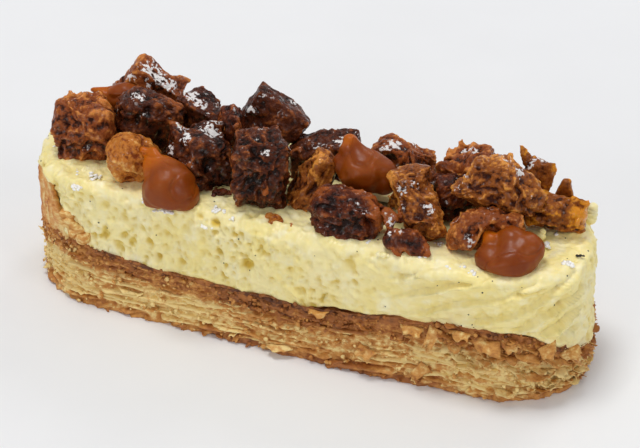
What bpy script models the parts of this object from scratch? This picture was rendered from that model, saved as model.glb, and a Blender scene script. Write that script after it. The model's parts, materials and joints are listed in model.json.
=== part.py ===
"""Mille feuille slice: a stadium-shaped puff pastry base, a block of vanilla cream,
and a heap of caramelised pastry chunks with piped drops of caramel.

Metres, +Z up. The origin is the middle of the flat underside, +X runs along the
slice, and -Y is its front. Sizes below are in millimetres, times MM.
"""

import math

import bmesh
import bpy
from mathutils import Euler, Vector, noise

MM = 0.001
COLLECTION = "mille_feuille_slice"

# Driving dimensions
LENGTH = 129.5 * MM
WIDTH = 38.0 * MM
PASTRY_TOP = 15.5 * MM
CREAM_TOP = 30.2 * MM
GAP = 0.3 * MM
COLUMNS = 76

# The pastry is lowest along the middle and rises towards both ends, and its top falls
# away at the very tip of the right end
CRUST_MIDDLE = 13.0 * MM
CRUST_LEFT_RISE = 2.5 * MM
CRUST_RIGHT_RISE = 4.8 * MM
LEVEL_FROM = -25.0 * MM
LEVEL_TO = 5.0 * MM
LEFT_RUN = 30.0 * MM
RIGHT_RUN = 42.0 * MM
TIP_FALL = 8.5 * MM
TIP_FROM = 46.0 * MM
TIP_RUN = 18.0 * MM
INNER_RINGS = [0.0, 0.3, 0.6, 0.82, 1.0]

# Pastry base
LAYERS = 7
LAYER_DEPTH = 1.0 * MM
LAYER_RAGGED = 1.5 * MM
LAYER_WAVE = 0.7 * MM
CRUST_EDGE = 1.3 * MM
PASTRY_EDGE = 0.8 * MM
PASTRY_SPREAD = 2.0 * MM
SPREAD_MIDDLE = -10.0 * MM
SPREAD_REACH = 55.0 * MM
SPREAD_RUN = 25.0 * MM
FOOT_SCALES = [1.0, 0.9, 0.5, 0.0]
RAGGED_SIZE = 2.3 * MM
RAGGED_SQUASH = 1.7
WAVE_SIZE = 15.0 * MM
WAVE_STRETCH = 0.35
WAVE_LIMIT = 0.3 * MM

# The strip of pastry that stands up against the cream at the left end
LIP_HEIGHT = 11.0 * MM
LIP_THICKNESS = 1.4 * MM
LIP_MIDDLE = math.radians(205)
LIP_HALF_ANGLE = math.radians(50)
LIP_STEEPNESS = 2.2
TORN_SIZE = 5.0 * MM
TORN_SHARE = 0.22

# The pastry's rim, from the strip's inner face outwards: (share of the strip's
# thickness still outside, how far down in MM, how far the strip lifts it, relief)
RIM = [(1.0, 0.0, 0.0, 0.0), (0.8, 0.1, 1.0, 0.2), (0.25, 0.3, 1.0, 0.3), (0.0, 0.8, 0.5, 0.5)]

# Cream block
CREAM_SIDE_ROWS = 5
CREAM_INSET = 0.8 * MM
CREAM_ROUNDING = 2.6 * MM
CREAM_UNEVEN = 0.45 * MM
CREAM_BUMP_SIZE = 7.0 * MM
CREAM_TOP_BUMPS = 0.2
ROUND_STEPS = [0.0, 30.0, 60.0, 90.0]

# The room the cream leaves for the strip: how far up, in strips, how far round, and how
# soon it is full
ROOM_UP = 1.25
ROOM_HALF_ANGLE = math.radians(64)
ROOM_EASE = 3.0

# Loose crumbs and curls of cream on the cream: (x, y, width, depth, height), in MM
CRUMBS = {
    "golden_crumb": (-2.4, -13.5, 4.8, 3.2, 1.3),
    "dark_crumb": (-16.0, -11.4, 4.0, 2.6, 1.7),
    "cream_curl": (55.8, -3.4, 3.0, 3.0, 2.4),
    "cream_peak": (57.4, 11.0, 2.4, 2.6, 4.4),
}

CRUMB_UNEVEN = 0.25
CRUMB_BUMP_SIZE = 0.4 * MM
CRUMB_SUNK = 0.2 * MM

FLAKE_ROOT = 3.2 * MM
FLAKE_THICKNESS = 0.5 * MM
FLAKE_CURL = 0.35 * MM
FLAKE_CURLS = 6
FLAKE_PHASE = 40
FLAKE_NARROWING = 0.55
FLAKE_SQUARENESS = 0.4
FLAKE_POINT = 1.1
FLAKE_TAPER = 0.5

# Flakes that stand out of the pastry's side: (share of the way round, height,
# width, reach, drop in degrees), in MM
FLAKES = [
    (0.787, 13.4, 7.4, 1.9, 44),
    (0.907, 12.4, 7.8, 1.5, 14),
    (0.862, 13.2, 6.8, 1.6, 24),
    (0.806, 6.6, 6.2, 1.2, 30),
    (0.953, 9.6, 7.2, 1.3, 10),
    (0.724, 12.2, 7.0, 1.3, 12),
    (0.662, 4.4, 7.2, 1.2, 12),
    (0.588, 8.5, 7.0, 1.1, 8),
    (0.977, 4.0, 7.4, 1.3, 10),
    (0.447, 5.2, 6.8, 1.3, 8),
    (0.333, 12.8, 7.6, 1.4, 14),
    (0.256, 6.0, 7.0, 1.2, 10),
    (0.153, 10.4, 7.4, 1.4, 18),
    (0.062, 12.4, 6.8, 1.3, 12),
]

# Caramelised pastry chunks: middle (x, y, z) and size (w, d, h) in MM, turn (x, y, z)
# in degrees, roundness from 0 (block) to 1 (ball), how much the top narrows, material
CHUNKS = {
    "chunk_left_front": ((-51.4, -4.0, 35.8), (14.5, 11.5, 12.5), (8, -6, 24), 0.5, 0.1, "baked"),
    "chunk_left_peak": ((-43.8, 9.5, 38.2), (11.8, 9.0, 11.4), (8, 34, 20), 0.12, 0.0, "dark"),
    "chunk_left_middle": ((-39.6, 1.6, 37.6), (13.0, 10.6, 12.0), (-6, 22, 10), 0.35, 0.1, "dark"),
    "chunk_left_golden": ((-37.0, -10.4, 34.4), (10.5, 8.5, 11.5), (10, -34, 24), 0.6, 0.25, "golden"),
    "chunk_back_slope": ((-32.2, 9.8, 35.8), (12.2, 9.2, 8.8), (4, 30, 12), 0.25, 0.1, "dark"),
    "chunk_back_small": ((-22.6, 9.6, 33.8), (8.5, 9.0, 7.0), (0, -8, 30), 0.45, 0.15, "baked"),
    "chunk_sugared": ((-23.7, -4.8, 35.8), (13.5, 12.0, 12.0), (-4, 6, 38), 0.25, 0.1, "dark"),
    "chunk_curl": ((-18.7, 1.0, 41.0), (5.4, 4.2, 7.4), (6, -10, 14), 0.3, 0.15, "baked"),
    "chunk_tall_back": ((-13.0, 8.6, 39.0), (12.2, 7.5, 10.4), (-14, 34, 12), 0.05, 0.0, "dark"),
    "chunk_tall_front": ((-7.7, -8.6, 38.0), (11.4, 11.0, 17.0), (6, 4, 24), 0.3, 0.1, "dark"),
    "chunk_bar": ((0.0, 8.2, 34.4), (15.0, 9.5, 8.2), (0, -6, 14), 0.4, 0.0, "dark"),
    "chunk_wedge": ((2.8, -4.2, 35.2), (7.5, 8.0, 11.5), (0, 26, 24), 0.2, 0.45, "golden"),
    "chunk_ruby": ((13.0, -11.2, 34.2), (13.0, 10.0, 10.0), (4, 8, 18), 0.45, 0.1, "baked"),
    "chunk_back_round": ((18.2, 9.4, 35.4), (13.6, 10.0, 9.5), (0, 4, 12), 0.55, 0.1, "baked"),
    "chunk_leaning": ((26.8, -7.4, 36.4), (8.4, 7.5, 17.0), (-46, -18, 24), 0.35, 0.15, "baked"),
    "chunk_flaky_low": ((27.8, -13.9, 32.8), (10.0, 7.0, 5.4), (0, -4, 10), 0.4, 0.2, "baked"),
    "chunk_back_high": ((33.4, 7.8, 36.4), (12.2, 10.5, 10.0), (0, -14, 18), 0.35, 0.1, "baked"),
    "chunk_between": ((30.8, 0.8, 35.2), (6.0, 5.8, 7.6), (0, 10, 30), 0.45, 0.1, "dark"),
    "chunk_golden_top": ((43.2, -0.6, 41.3), (17.5, 10.0, 9.6), (4, 22, 14), 0.5, 0.1, "golden"),
    "chunk_shard": ((48.4, 8.6, 40.0), (7.8, 3.4, 6.8), (-10, 24, 20), 0.15, 0.3, "golden"),
    "chunk_right_end": ((53.4, 5.4, 34.6), (14.4, 7.8, 7.2), (0, 14, 20), 0.25, 0.1, "amber"),
    "chunk_right_front": ((42.3, -6.0, 34.4), (13.6, 8.0, 8.4), (0, 4, 20), 0.55, 0.2, "baked"),
    "chunk_spike": ((54.0, 9.0, 37.6), (3.4, 2.6, 4.6), (0, 10, 20), 0.1, 0.7, "golden"),
}
CHUNK_CUTS = 3
BIG_CHUNK = 12.4 * MM
CRAG_DEPTH = 1.0 * MM
CRAG_SIZE = 4.6 * MM
BALL_SIZE = 1.2

# Piped caramel drops: foot (x, y, z), radius, length from foot to tip, the way the
# tip points, and how far the tip curls, in MM
DROPS = {
    "caramel_left_back": ((-45.0, 5.4, 38.6), 4.2, 10.8, (-0.9, -0.2, 0.14), 0.6),
    "caramel_left_front": ((-26.4, -15.0, 32.8), 6.5, 9.6, (-0.56, 0.3, 0.58), 1.6),
    "caramel_middle": ((12.4, -1.2, 39.0), 5.8, 7.4, (-0.46, 0.12, 0.88), 1.2),
    "caramel_right": ((48.5, -10.2, 33.0), 6.6, 4.8, (-0.3, 0.25, 0.9), 0.6),
}
DROP_SEGMENTS = 16
DROP_RINGS = 11
DROP_TAPER = 0.78
DROP_SHOULDER = 0.42
DROP_NECK = 0.5

# Squeezing touching pieces apart
DIRECTIONS = 64
SQUEEZE_ROUNDS = 4

SEEDS = {"ragged": 7.0, "wave": 3.0, "torn": 11.0, "cream": 5.0}

MATERIALS = {
    "pastry": ((0.47, 0.26, 0.08), 0.75),
    "cream": ((0.82, 0.72, 0.36), 0.5),
    "golden": ((0.36, 0.13, 0.025), 0.35),
    "baked": ((0.15, 0.045, 0.016), 0.35),
    "dark": ((0.07, 0.022, 0.01), 0.35),
    "amber": ((0.24, 0.07, 0.01), 0.25),
    "caramel": ((0.26, 0.075, 0.012), 0.2),
}


def smooth_step(value):
    """0 below 0, 1 above 1, and a smooth ramp between."""
    held = min(1.0, max(0.0, value))
    return held * held * (3 - 2 * held)


def ripple(point, size, seed):
    """Smooth noise from about -1 to 1, with bumps of that size."""
    return noise.noise(point / size + Vector((seed, 2 * seed, -seed)))


def crust_height(x):
    """How high the pastry's top lies at this place along the slice."""
    left = smooth_step((LEVEL_FROM - x) / LEFT_RUN) * CRUST_LEFT_RISE
    right = smooth_step((x - LEVEL_TO) / RIGHT_RUN) * CRUST_RIGHT_RISE
    fall = max(0.0, (x - TIP_FROM) / TIP_RUN) ** 3 * TIP_FALL
    return CRUST_MIDDLE + left + right - fall


def pastry_spread(x, height):
    """How far the pastry widens here towards its foot, mostly along the middle."""
    along = smooth_step((SPREAD_REACH - abs(x - SPREAD_MIDDLE)) / SPREAD_RUN)
    return PASTRY_SPREAD * along * (1 - height / PASTRY_TOP)


def stadium(share, inset=0.0, length=LENGTH, width=WIDTH):
    """The point that lies this share of the way round a stadium outline, from its +X
    tip and counter-clockwise, moved in by inset, and the outward direction there."""
    radius = width / 2
    half_run = length / 2 - radius
    quarter = math.pi * radius / 2
    walked = (share % 1.0) * (4 * half_run + 4 * quarter)
    if walked < quarter:
        centre, angle = half_run, walked / radius
    elif walked < quarter + 2 * half_run:
        centre, angle = half_run - (walked - quarter), math.pi / 2
    elif walked < 3 * quarter + 2 * half_run:
        centre, angle = -half_run, (walked - 2 * half_run) / radius
    elif walked < 3 * quarter + 4 * half_run:
        centre, angle = walked - 3 * quarter - 3 * half_run, 3 * math.pi / 2
    else:
        centre, angle = half_run, (walked - 4 * half_run) / radius
    out = Vector((math.cos(angle), math.sin(angle), 0))
    return Vector((centre, 0, 0)) + out * (radius - inset), out


def lip_share(point, half_angle=LIP_HALF_ANGLE):
    """How far the standing strip is raised beside this point, from 0 to 1."""
    middle_x = WIDTH / 2 - LENGTH / 2
    if point.x > middle_x + WIDTH / 4:
        return 0.0
    angle = math.atan2(point.y, point.x - middle_x) % (2 * math.pi)
    away = abs(angle - LIP_MIDDLE) / half_angle
    return smooth_step((1 - away) * LIP_STEEPNESS)


def new_object(name, bm, material, smooth=True):
    """Turns the bmesh into an object of that name and material, shaded smooth or flat."""
    mesh = bpy.data.meshes.new(name)
    bm.to_mesh(mesh)
    bm.free()
    obj = bpy.data.objects.new(name, mesh)
    obj.data.materials.append(material)
    bpy.data.collections[COLLECTION].objects.link(obj)
    if smooth:
        mesh.shade_smooth()
    return obj


def make_material(name):
    colour, roughness = MATERIALS[name]
    material = bpy.data.materials.new(name)
    material.use_nodes = True
    shader = material.node_tree.nodes["Principled BSDF"]
    shader.inputs["Base Color"].default_value = (*colour, 1)
    shader.inputs["Roughness"].default_value = roughness
    shader.inputs["Metallic"].default_value = 0.0
    return material


def moulded_sphere(rings, place):
    """A sphere whose vertices are moved to place(share round, ring from the top)."""
    bm = bmesh.new()
    bmesh.ops.create_uvsphere(bm, u_segments=COLUMNS, v_segments=rings, radius=1)
    for vertex in bm.verts:
        share = (math.atan2(vertex.co.y, vertex.co.x) / (2 * math.pi)) % 1.0
        ring = round(math.acos(max(-1.0, min(1.0, vertex.co.z))) / math.pi * rings)
        vertex.co = place(share, ring)
    bmesh.ops.triangulate(bm, faces=bm.faces)
    return bm


def pastry_rings():
    """The pastry's profile from the middle of its top to the middle of its foot. Each
    ring is (scale, inset, height, how far the lip raises it, depth of layer relief)."""
    rings = [(scale, LIP_THICKNESS + GAP, PASTRY_TOP, 0.0, 0.0) for scale in INNER_RINGS]
    for outside, down, lift, relief in RIM:
        rings.append((1.0, LIP_THICKNESS * outside, PASTRY_TOP - down * MM, lift, relief))
    rows = 2 * LAYERS + 1
    wall_top = PASTRY_TOP - CRUST_EDGE
    for row in range(rows):
        height = wall_top - (wall_top - PASTRY_EDGE) * row / (rows - 1)
        rings.append((1.0, LAYER_DEPTH if row % 2 == 1 else 0.0, height, 0.0, 1.0))
    rings += [(scale, PASTRY_EDGE, 0.0, 0.0, 0.0) for scale in FOOT_SCALES]
    return rings


def pastry_point(rings, share, ring):
    """Where the pastry's surface lies, with its wavy layers and ragged edges."""
    scale, inset, height, lip, relief = rings[ring]
    edge, out = stadium(share)
    rise = lip_share(edge) * lip
    probe = Vector((edge.x, edge.y, RAGGED_SQUASH * height))
    ragged = abs(ripple(probe, RAGGED_SIZE, SEEDS["ragged"])) * LAYER_RAGGED * relief
    flat_probe = Vector((edge.x, edge.y, WAVE_STRETCH * height))
    wave = ripple(flat_probe, WAVE_SIZE, SEEDS["wave"]) * LAYER_WAVE * relief
    spread = pastry_spread(edge.x, height)
    torn = 1 + TORN_SHARE * ripple(edge, TORN_SIZE, SEEDS["torn"])
    point = (edge - out * (inset + ragged - spread)) * scale
    level = (height + min(wave, WAVE_LIMIT) * (1 - lip)) * crust_height(point.x) / PASTRY_TOP
    point.z = level + rise * LIP_HEIGHT * torn
    return point


def flake(share, height, width, reach, drop):
    """A thin torn flake that stands out of the pastry's side and droops."""
    edge, out = stadium(share, inset=FLAKE_ROOT)
    along = Vector((-out.y, out.x, 0))
    edge += out * pastry_spread(edge.x, height * MM)
    rim, _ = stadium(share)
    level = height * MM * crust_height(rim.x) / PASTRY_TOP
    bm = bmesh.new()
    bmesh.ops.create_cube(bm, size=1)
    longways = [e for e in bm.edges if abs(e.verts[0].co.x - e.verts[1].co.x) > 0.5]
    bmesh.ops.subdivide_edges(bm, edges=longways, cuts=3)
    tilt = math.radians(drop)
    for vertex in bm.verts:
        side, depth, up = vertex.co
        outer = depth + 0.5
        narrow = 1 - FLAKE_NARROWING * outer * (FLAKE_SQUARENESS + abs(side))
        far = (FLAKE_ROOT + reach * MM * (1 - FLAKE_POINT * side * side)) * outer
        droop = max(0.0, far - FLAKE_ROOT) * math.sin(tilt)
        place = edge + along * side * width * MM * narrow + out * far
        place.z = level - droop + up * FLAKE_THICKNESS * (1 - FLAKE_TAPER * outer)
        place.z += FLAKE_CURL * math.sin(FLAKE_CURLS * side + share * FLAKE_PHASE) * outer
        vertex.co = place
    bmesh.ops.triangulate(bm, faces=bm.faces)
    return bm


def keep_largest_shell(mesh):
    """Fills the hollows that a union sealed, and drops its loose scraps."""
    bm = bmesh.new()
    bm.from_mesh(mesh)
    unseen = set(bm.verts)
    shells = []
    while unseen:
        shell = []
        waiting = [unseen.pop()]
        while waiting:
            vertex = waiting.pop()
            shell.append(vertex)
            for edge in vertex.link_edges:
                neighbour = edge.other_vert(vertex)
                if neighbour in unseen:
                    unseen.remove(neighbour)
                    waiting.append(neighbour)
        shells.append(shell)
    shells.sort(key=len)
    for shell in shells[:-1]:
        bmesh.ops.delete(bm, geom=shell, context="VERTS")
    bmesh.ops.triangulate(bm, faces=bm.faces)
    bm.to_mesh(mesh)
    bm.free()


def join_with(base, pieces):
    """Fuses the pieces with the base by one Boolean union, and removes them."""
    cutters = bpy.data.collections.new("fused_pieces")
    bpy.context.scene.collection.children.link(cutters)
    for piece in pieces:
        bpy.data.collections[COLLECTION].objects.unlink(piece)
        cutters.objects.link(piece)
    union = base.modifiers.new("fuse", "BOOLEAN")
    union.operation = "UNION"
    union.solver = "EXACT"
    union.operand_type = "COLLECTION"
    union.collection = cutters
    graph = bpy.context.evaluated_depsgraph_get()
    fused = bpy.data.meshes.new_from_object(base.evaluated_get(graph))
    base.modifiers.remove(union)
    keep_largest_shell(fused)
    base.data = fused
    for piece in pieces:
        bpy.data.objects.remove(piece)
    bpy.data.collections.remove(cutters)


def make_pastry(material):
    rings = pastry_rings()
    bm = moulded_sphere(
        len(rings) - 1, lambda share, ring: pastry_point(rings, share, ring)
    )
    base = new_object("pastry_base", bm, material, smooth=False)
    shards = [
        new_object(f"flake_{number}", flake(*row), material, smooth=False)
        for number, row in enumerate(FLAKES)
    ]
    join_with(base, shards)


def cream_rings():
    """The cream's profile from the middle of its top to the middle of its foot. Each
    ring is (scale, inset, height, how uneven it is)."""
    foot = PASTRY_TOP + GAP
    rings = [
        (0.0, 2 * CREAM_ROUNDING, CREAM_TOP, 0.0),
        (0.35, 2 * CREAM_ROUNDING, CREAM_TOP, 0.5),
        (0.7, 2 * CREAM_ROUNDING, CREAM_TOP, 0.5),
        (1.0, 2 * CREAM_ROUNDING, CREAM_TOP, 0.6),
    ]
    for degrees in ROUND_STEPS:
        turn = math.radians(degrees)
        inset = CREAM_ROUNDING * (1 - math.sin(turn))
        height = CREAM_TOP - CREAM_ROUNDING * (1 - math.cos(turn))
        rings.append((1.0, inset, height, 1.0))
    shoulder = CREAM_TOP - CREAM_ROUNDING
    for row in range(1, CREAM_SIDE_ROWS):
        rings.append((1.0, 0.0, shoulder - (shoulder - foot) * row / CREAM_SIDE_ROWS, 1.0))
    rings.append((1.0, GAP, foot, 0.5))
    inner = LIP_THICKNESS + GAP - CREAM_INSET
    rings += [(scale, inner, foot, 0.0) for scale in reversed(INNER_RINGS)]
    return rings


def cream_point(rings, share, ring):
    """Where the cream's surface lies: it slumps a little, and gives way to the lip."""
    scale, inset, height, uneven = rings[ring]
    edge, out = stadium(share)
    beside_lip = height < PASTRY_TOP + ROOM_UP * LIP_HEIGHT
    ease = smooth_step(ROOM_EASE * lip_share(edge, ROOM_HALF_ANGLE))
    room = (LIP_THICKNESS + 2 * GAP) * ease * beside_lip
    probe = Vector((edge.x, edge.y, height)) * max(scale, CREAM_TOP_BUMPS)
    bump = (1 + ripple(probe, CREAM_BUMP_SIZE, SEEDS["cream"])) / 2 * CREAM_UNEVEN * uneven
    point = (edge - out * (CREAM_INSET + inset + room + bump)) * scale
    shoulder = CREAM_TOP - CREAM_ROUNDING
    if height > shoulder:
        point.z = height - bump
    else:
        stretch = (shoulder - crust_height(point.x) - GAP) / (shoulder - PASTRY_TOP - GAP)
        point.z = shoulder - (shoulder - height) * stretch
    return point


def crumb(x, y, width, depth, height):
    """An uneven lump that is half sunk in the cream."""
    bm = bmesh.new()
    bmesh.ops.create_icosphere(bm, subdivisions=1, radius=0.5)
    for vertex in bm.verts:
        uneven = 1 + CRUMB_UNEVEN * ripple(vertex.co * MM, CRUMB_BUMP_SIZE, x)
        size = Vector((width, depth, 2 * height)) * MM * uneven
        vertex.co = Vector([a * b for a, b in zip(vertex.co, size)])
        vertex.co += Vector((x * MM, y * MM, CREAM_TOP - CRUMB_SUNK))
    return bm


def make_cream(material):
    rings = cream_rings()
    bm = moulded_sphere(
        len(rings) - 1, lambda share, ring: cream_point(rings, share, ring)
    )
    block = new_object("cream", bm, material)
    crumbs = [new_object(name, crumb(*row), material) for name, row in CRUMBS.items()]
    join_with(block, crumbs)


def chunk(middle, size, turn, roundness, narrowing, seed):
    """A torn, craggy block of caramelised pastry."""
    half = Vector(size) * MM / 2
    rotation = Euler([math.radians(degrees) for degrees in turn]).to_matrix()
    cuts = CHUNK_CUTS + (max(size) * MM > BIG_CHUNK)
    bm = bmesh.new()
    bmesh.ops.create_cube(bm, size=2)
    bmesh.ops.subdivide_edges(bm, edges=bm.edges, cuts=cuts, use_grid_fill=True)
    for vertex in bm.verts:
        ball = vertex.co.normalized()
        shape = vertex.co.lerp(ball * BALL_SIZE, roundness)
        narrow = 1 - narrowing * (shape.z + 1) / 2
        shape = Vector((shape.x * narrow, shape.y * narrow, shape.z))
        place = Vector([a * b for a, b in zip(shape, half)])
        large, small = ripple(place, CRAG_SIZE, seed), ripple(place, CRAG_SIZE / 2, seed + 4)
        place += ball * (large + small / 2) * CRAG_DEPTH
        vertex.co = Vector(middle) * MM + rotation @ place
    return bm


def drop(foot, radius, length, tip_way, curl):
    """A piped drop: a squat round body drawn out to a soft tip that leans over."""
    axis = Vector(tip_way).normalized()
    side = Vector((0, 0, 1)).cross(axis).normalized()
    up = axis.cross(side)
    bm = bmesh.new()
    bmesh.ops.create_uvsphere(bm, u_segments=DROP_SEGMENTS, v_segments=DROP_RINGS, radius=1)
    for vertex in bm.verts:
        rise = (vertex.co.z + 1) / 2
        taper = 1 - DROP_TAPER * smooth_step((rise - DROP_SHOULDER) / DROP_NECK)
        along = (rise * (length + radius) - radius) * MM
        across = radius * MM * taper
        place = Vector(foot) * MM + axis * along
        place += side * vertex.co.x * across + up * vertex.co.y * across
        place += up * curl * MM * smooth_step((rise - 0.5) * 2)
        vertex.co = place
    return bm


def even_directions(count):
    """Directions spread evenly over half a sphere."""
    golden_angle = math.pi * (3 - math.sqrt(5))
    ways = []
    for number in range(count):
        z = (number + 0.5) / count
        flat = math.sqrt(1 - z * z)
        turn = golden_angle * number
        ways.append(Vector((flat * math.cos(turn), flat * math.sin(turn), z)))
    return ways


def least_overlap(first, second, ways):
    """(overlap, direction, middle) along the direction in which two meshes overlap
    least, with the direction pointing from the first to the second."""
    best = None
    for way in ways + [-w for w in ways]:
        far = max(v.co.dot(way) for v in first.verts)
        near = min(v.co.dot(way) for v in second.verts)
        if best is None or far - near < best[0]:
            best = (far - near, way, (far + near) / 2)
    return best


def press_flat(bm, way, limit):
    """Moves what lies beyond the plane back onto it."""
    for vertex in bm.verts:
        over = vertex.co.dot(way) - limit
        if over > 0:
            vertex.co -= way * over


def reach(bm):
    """The middle of a mesh and the radius of a ball round it."""
    middle = sum((v.co for v in bm.verts), Vector()) / len(bm.verts)
    return middle, max((v.co - middle).length for v in bm.verts)


def settle(meshes):
    """Presses touching pieces flat where they meet, GAP apart, and flat on the cream."""
    ways = even_directions(DIRECTIONS)
    names = list(meshes)
    for _ in range(SQUEEZE_ROUNDS):
        for bm in meshes.values():
            press_flat(bm, Vector((0, 0, -1)), -(CREAM_TOP + GAP))
        for number, name in enumerate(names):
            for other in names[number + 1 :]:
                first, second = meshes[name], meshes[other]
                (a, a_reach), (b, b_reach) = reach(first), reach(second)
                if (b - a).length > a_reach + b_reach + GAP:
                    continue
                overlap, way, middle = least_overlap(first, second, ways)
                if overlap > -GAP:
                    press_flat(first, way, middle - GAP / 2)
                    press_flat(second, -way, -(middle + GAP / 2))


def make_toppings(materials):
    meshes, finishes = {}, {}
    for number, (name, row) in enumerate(CHUNKS.items()):
        *shape, finish = row
        meshes[name] = chunk(*shape, seed=2.7 * number)
        finishes[name] = finish
    for name, row in DROPS.items():
        meshes[name] = drop(*row)
        finishes[name] = "caramel"
    settle(meshes)
    for name, bm in meshes.items():
        new_object(name, bm, materials[finishes[name]])


def main():
    for obj in list(bpy.data.objects):
        bpy.data.objects.remove(obj)
    collection = bpy.data.collections.new(COLLECTION)
    bpy.context.scene.collection.children.link(collection)
    materials = {name: make_material(name) for name in MATERIALS}
    make_pastry(materials["pastry"])
    make_cream(materials["cream"])
    make_toppings(materials)


main()
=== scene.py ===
import json
import math

import bmesh
import bpy
import numpy as np
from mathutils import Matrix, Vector


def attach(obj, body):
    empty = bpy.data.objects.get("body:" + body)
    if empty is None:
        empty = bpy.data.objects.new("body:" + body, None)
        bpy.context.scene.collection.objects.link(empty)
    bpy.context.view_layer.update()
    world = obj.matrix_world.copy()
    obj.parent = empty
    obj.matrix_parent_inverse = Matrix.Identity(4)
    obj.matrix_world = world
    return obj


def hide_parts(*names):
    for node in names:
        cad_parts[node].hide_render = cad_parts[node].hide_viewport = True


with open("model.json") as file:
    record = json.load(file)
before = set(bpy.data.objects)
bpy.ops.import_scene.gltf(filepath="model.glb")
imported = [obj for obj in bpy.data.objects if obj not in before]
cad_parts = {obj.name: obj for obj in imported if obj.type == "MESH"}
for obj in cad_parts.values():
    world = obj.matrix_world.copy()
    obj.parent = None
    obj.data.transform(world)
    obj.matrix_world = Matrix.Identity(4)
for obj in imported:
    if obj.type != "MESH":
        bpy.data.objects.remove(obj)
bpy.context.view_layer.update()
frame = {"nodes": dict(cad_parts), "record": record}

# The look of a mille feuille slice: flaky pastry, bubbly vanilla cream, glazed chunks
# dusted with sugar, and soft caramel. Metres, in the frame's own axes. Sizes that are
# named below are in millimetres, times MM.
MM = 0.001
SEED = 7

# The slice's driving dimensions, as in the solids
LENGTH = 129.5 * MM
WIDTH = 38.0 * MM
CREAM_TOP = 30.2 * MM
PASTRY_TOP = 15.5 * MM
CRUST_MIDDLE = 13.0 * MM
CRUST_LEFT_RISE = 2.5 * MM
CRUST_RIGHT_RISE = 4.8 * MM
LEVEL_FROM = -25.0 * MM
LEVEL_TO = 5.0 * MM
LEFT_RUN = 30.0 * MM
RIGHT_RUN = 42.0 * MM
TIP_FALL = 8.5 * MM
TIP_FROM = 46.0 * MM
TIP_RUN = 18.0 * MM
PASTRY_SPREAD = 2.0 * MM
SPREAD_MIDDLE = -10.0 * MM
SPREAD_REACH = 55.0 * MM
SPREAD_RUN = 25.0 * MM
LIP_HEIGHT = 11.0 * MM
LIP_THICKNESS = 1.4 * MM
LIP_MIDDLE = math.radians(205)
LIP_HALF_ANGLE = math.radians(50)
CREAM_INSET = 0.8 * MM
CREAM_ROUNDING = 3.0 * MM

RADIUS = WIDTH / 2
HALF_RUN = LENGTH / 2 - RADIUS
PERIMETER = 4 * HALF_RUN + 2 * math.pi * RADIUS

# How fine the meshes are
CREAM_COLUMNS = 880
CREAM_STEP = 0.33 * MM
CORE_COLUMNS = 640
LAYER_COLUMNS = 660
CHUNK_VOXEL = 0.34 * MM
ROUND_VOXEL = 0.6 * MM
DROP_VOXEL = 0.45 * MM
STRIP_COLUMNS, STRIP_ROWS = 190, 44
FLAKE_COLUMNS, FLAKE_ROWS = 8, 5
BLADE_SIDES, BLADE_RINGS = 12, 7

# The pastry's sheets: how many show one above the other, how thick they are and how deep
# they are rooted in mm, then the flakes and crumbs on it
LAYERS = 15
SHEET = 0.36 * MM
SHEET_ROOT = 2.6
FLAKES = 420
FLAKE_THICKNESS, LEAF_THICKNESS = 0.22 * MM, 0.3 * MM
CRUMBS = 1400

# The part of the front where flakes crowd, from its middle, in mm, and their share
CROWDED = (38, 88)
CROWD_SHARE = 0.3

# Vanilla seeds, spots of sugar, and grains in a patch of fallen sugar, and how high the
# seeds and the spots begin
VANILLA_SEEDS = 120
SUGAR_SPOTS = 60
PATCH_GRAINS = 14
SPECKS_FROM = 17 * MM
SUGAR_FROM = 28.5 * MM

# The cream's burst bubbles in four sizes, as (how far apart they lie in mm, how wide
# each is in that distance, how many places hold one, how deep it is in mm)
BUBBLES = ((4.6, 0.55, 0.4, 0.7), (2.7, 0.62, 0.8, 0.62), (1.7, 0.66, 0.85, 0.46), (1.05, 0.6, 0.8, 0.26))
BUBBLE_DEPTH = 1.5

# The web of foam between them, the waves of its surface and its ragged hem, in mm
FOAM_WEB = 1.5
WAVE_BROAD, WAVE_FINE = 0.5, 0.55
HEM_BROAD, HEM_FINE = 0.8, 0.35
FOOT_BROAD, FOOT_FINE = 0.6, 0.25

# The smears on the right of the cream, by distance along the front from its middle and
# by height: where they begin and end, how steeply they rise, how far apart they are and
# how much they stand out in mm, then the ledge above them and the slit under it
SMEAR_FROM, SMEAR_TO = 22 * MM, 74 * MM
SMEAR_RISE = 0.43
SMEAR_STEP = 4.8 * MM
SMEAR_RELIEF = 3.3
LEDGE_FROM, LEDGE_TO = 24 * MM, 64 * MM
LEDGE_HEIGHT = 26.2 * MM
LEDGE_RISE = 0.085
LEDGE_RELIEF, LEDGE_GROOVE = 0.8, 0.6
SLIT_FROM, SLIT_TO = 52 * MM, 61 * MM
SLIT_HEIGHT = 26.9 * MM
SLIT_RISE = 0.08
SLIT_DEPTH = 2.0

# How the pastry browns: the shares of its height where the band under the cream and the
# seam at the very top begin and where the foot ends, how much each of them browns, and
# how much the bulge right of the middle and the patches do
BAND_FROM, SEAM_FROM, FOOT_TO = 0.58, 0.9, 0.2
BAND_BAKE, SEAM_BAKE, FOOT_BAKE = 0.6, 0.35, 0.55
BULGE_BAKE, PATCH_BAKE = 0.3, 0.5
BULGE_MIDDLE, BULGE_RUN = 12 * MM, 18 * MM

# The camera, fitted to the outlines of the cream and the pastry
TARGET = Vector((2.25, 0.0, 21.518)) * MM
AZIMUTH = math.radians(22.98)
ELEVATION = math.radians(33.23)
DISTANCE = 500.0 * MM
LENS = 129.35
SENSOR = 36.0

# Where the lights are aimed
LIT_POINT = Vector((0.0, 0.0, 0.02))

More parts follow.
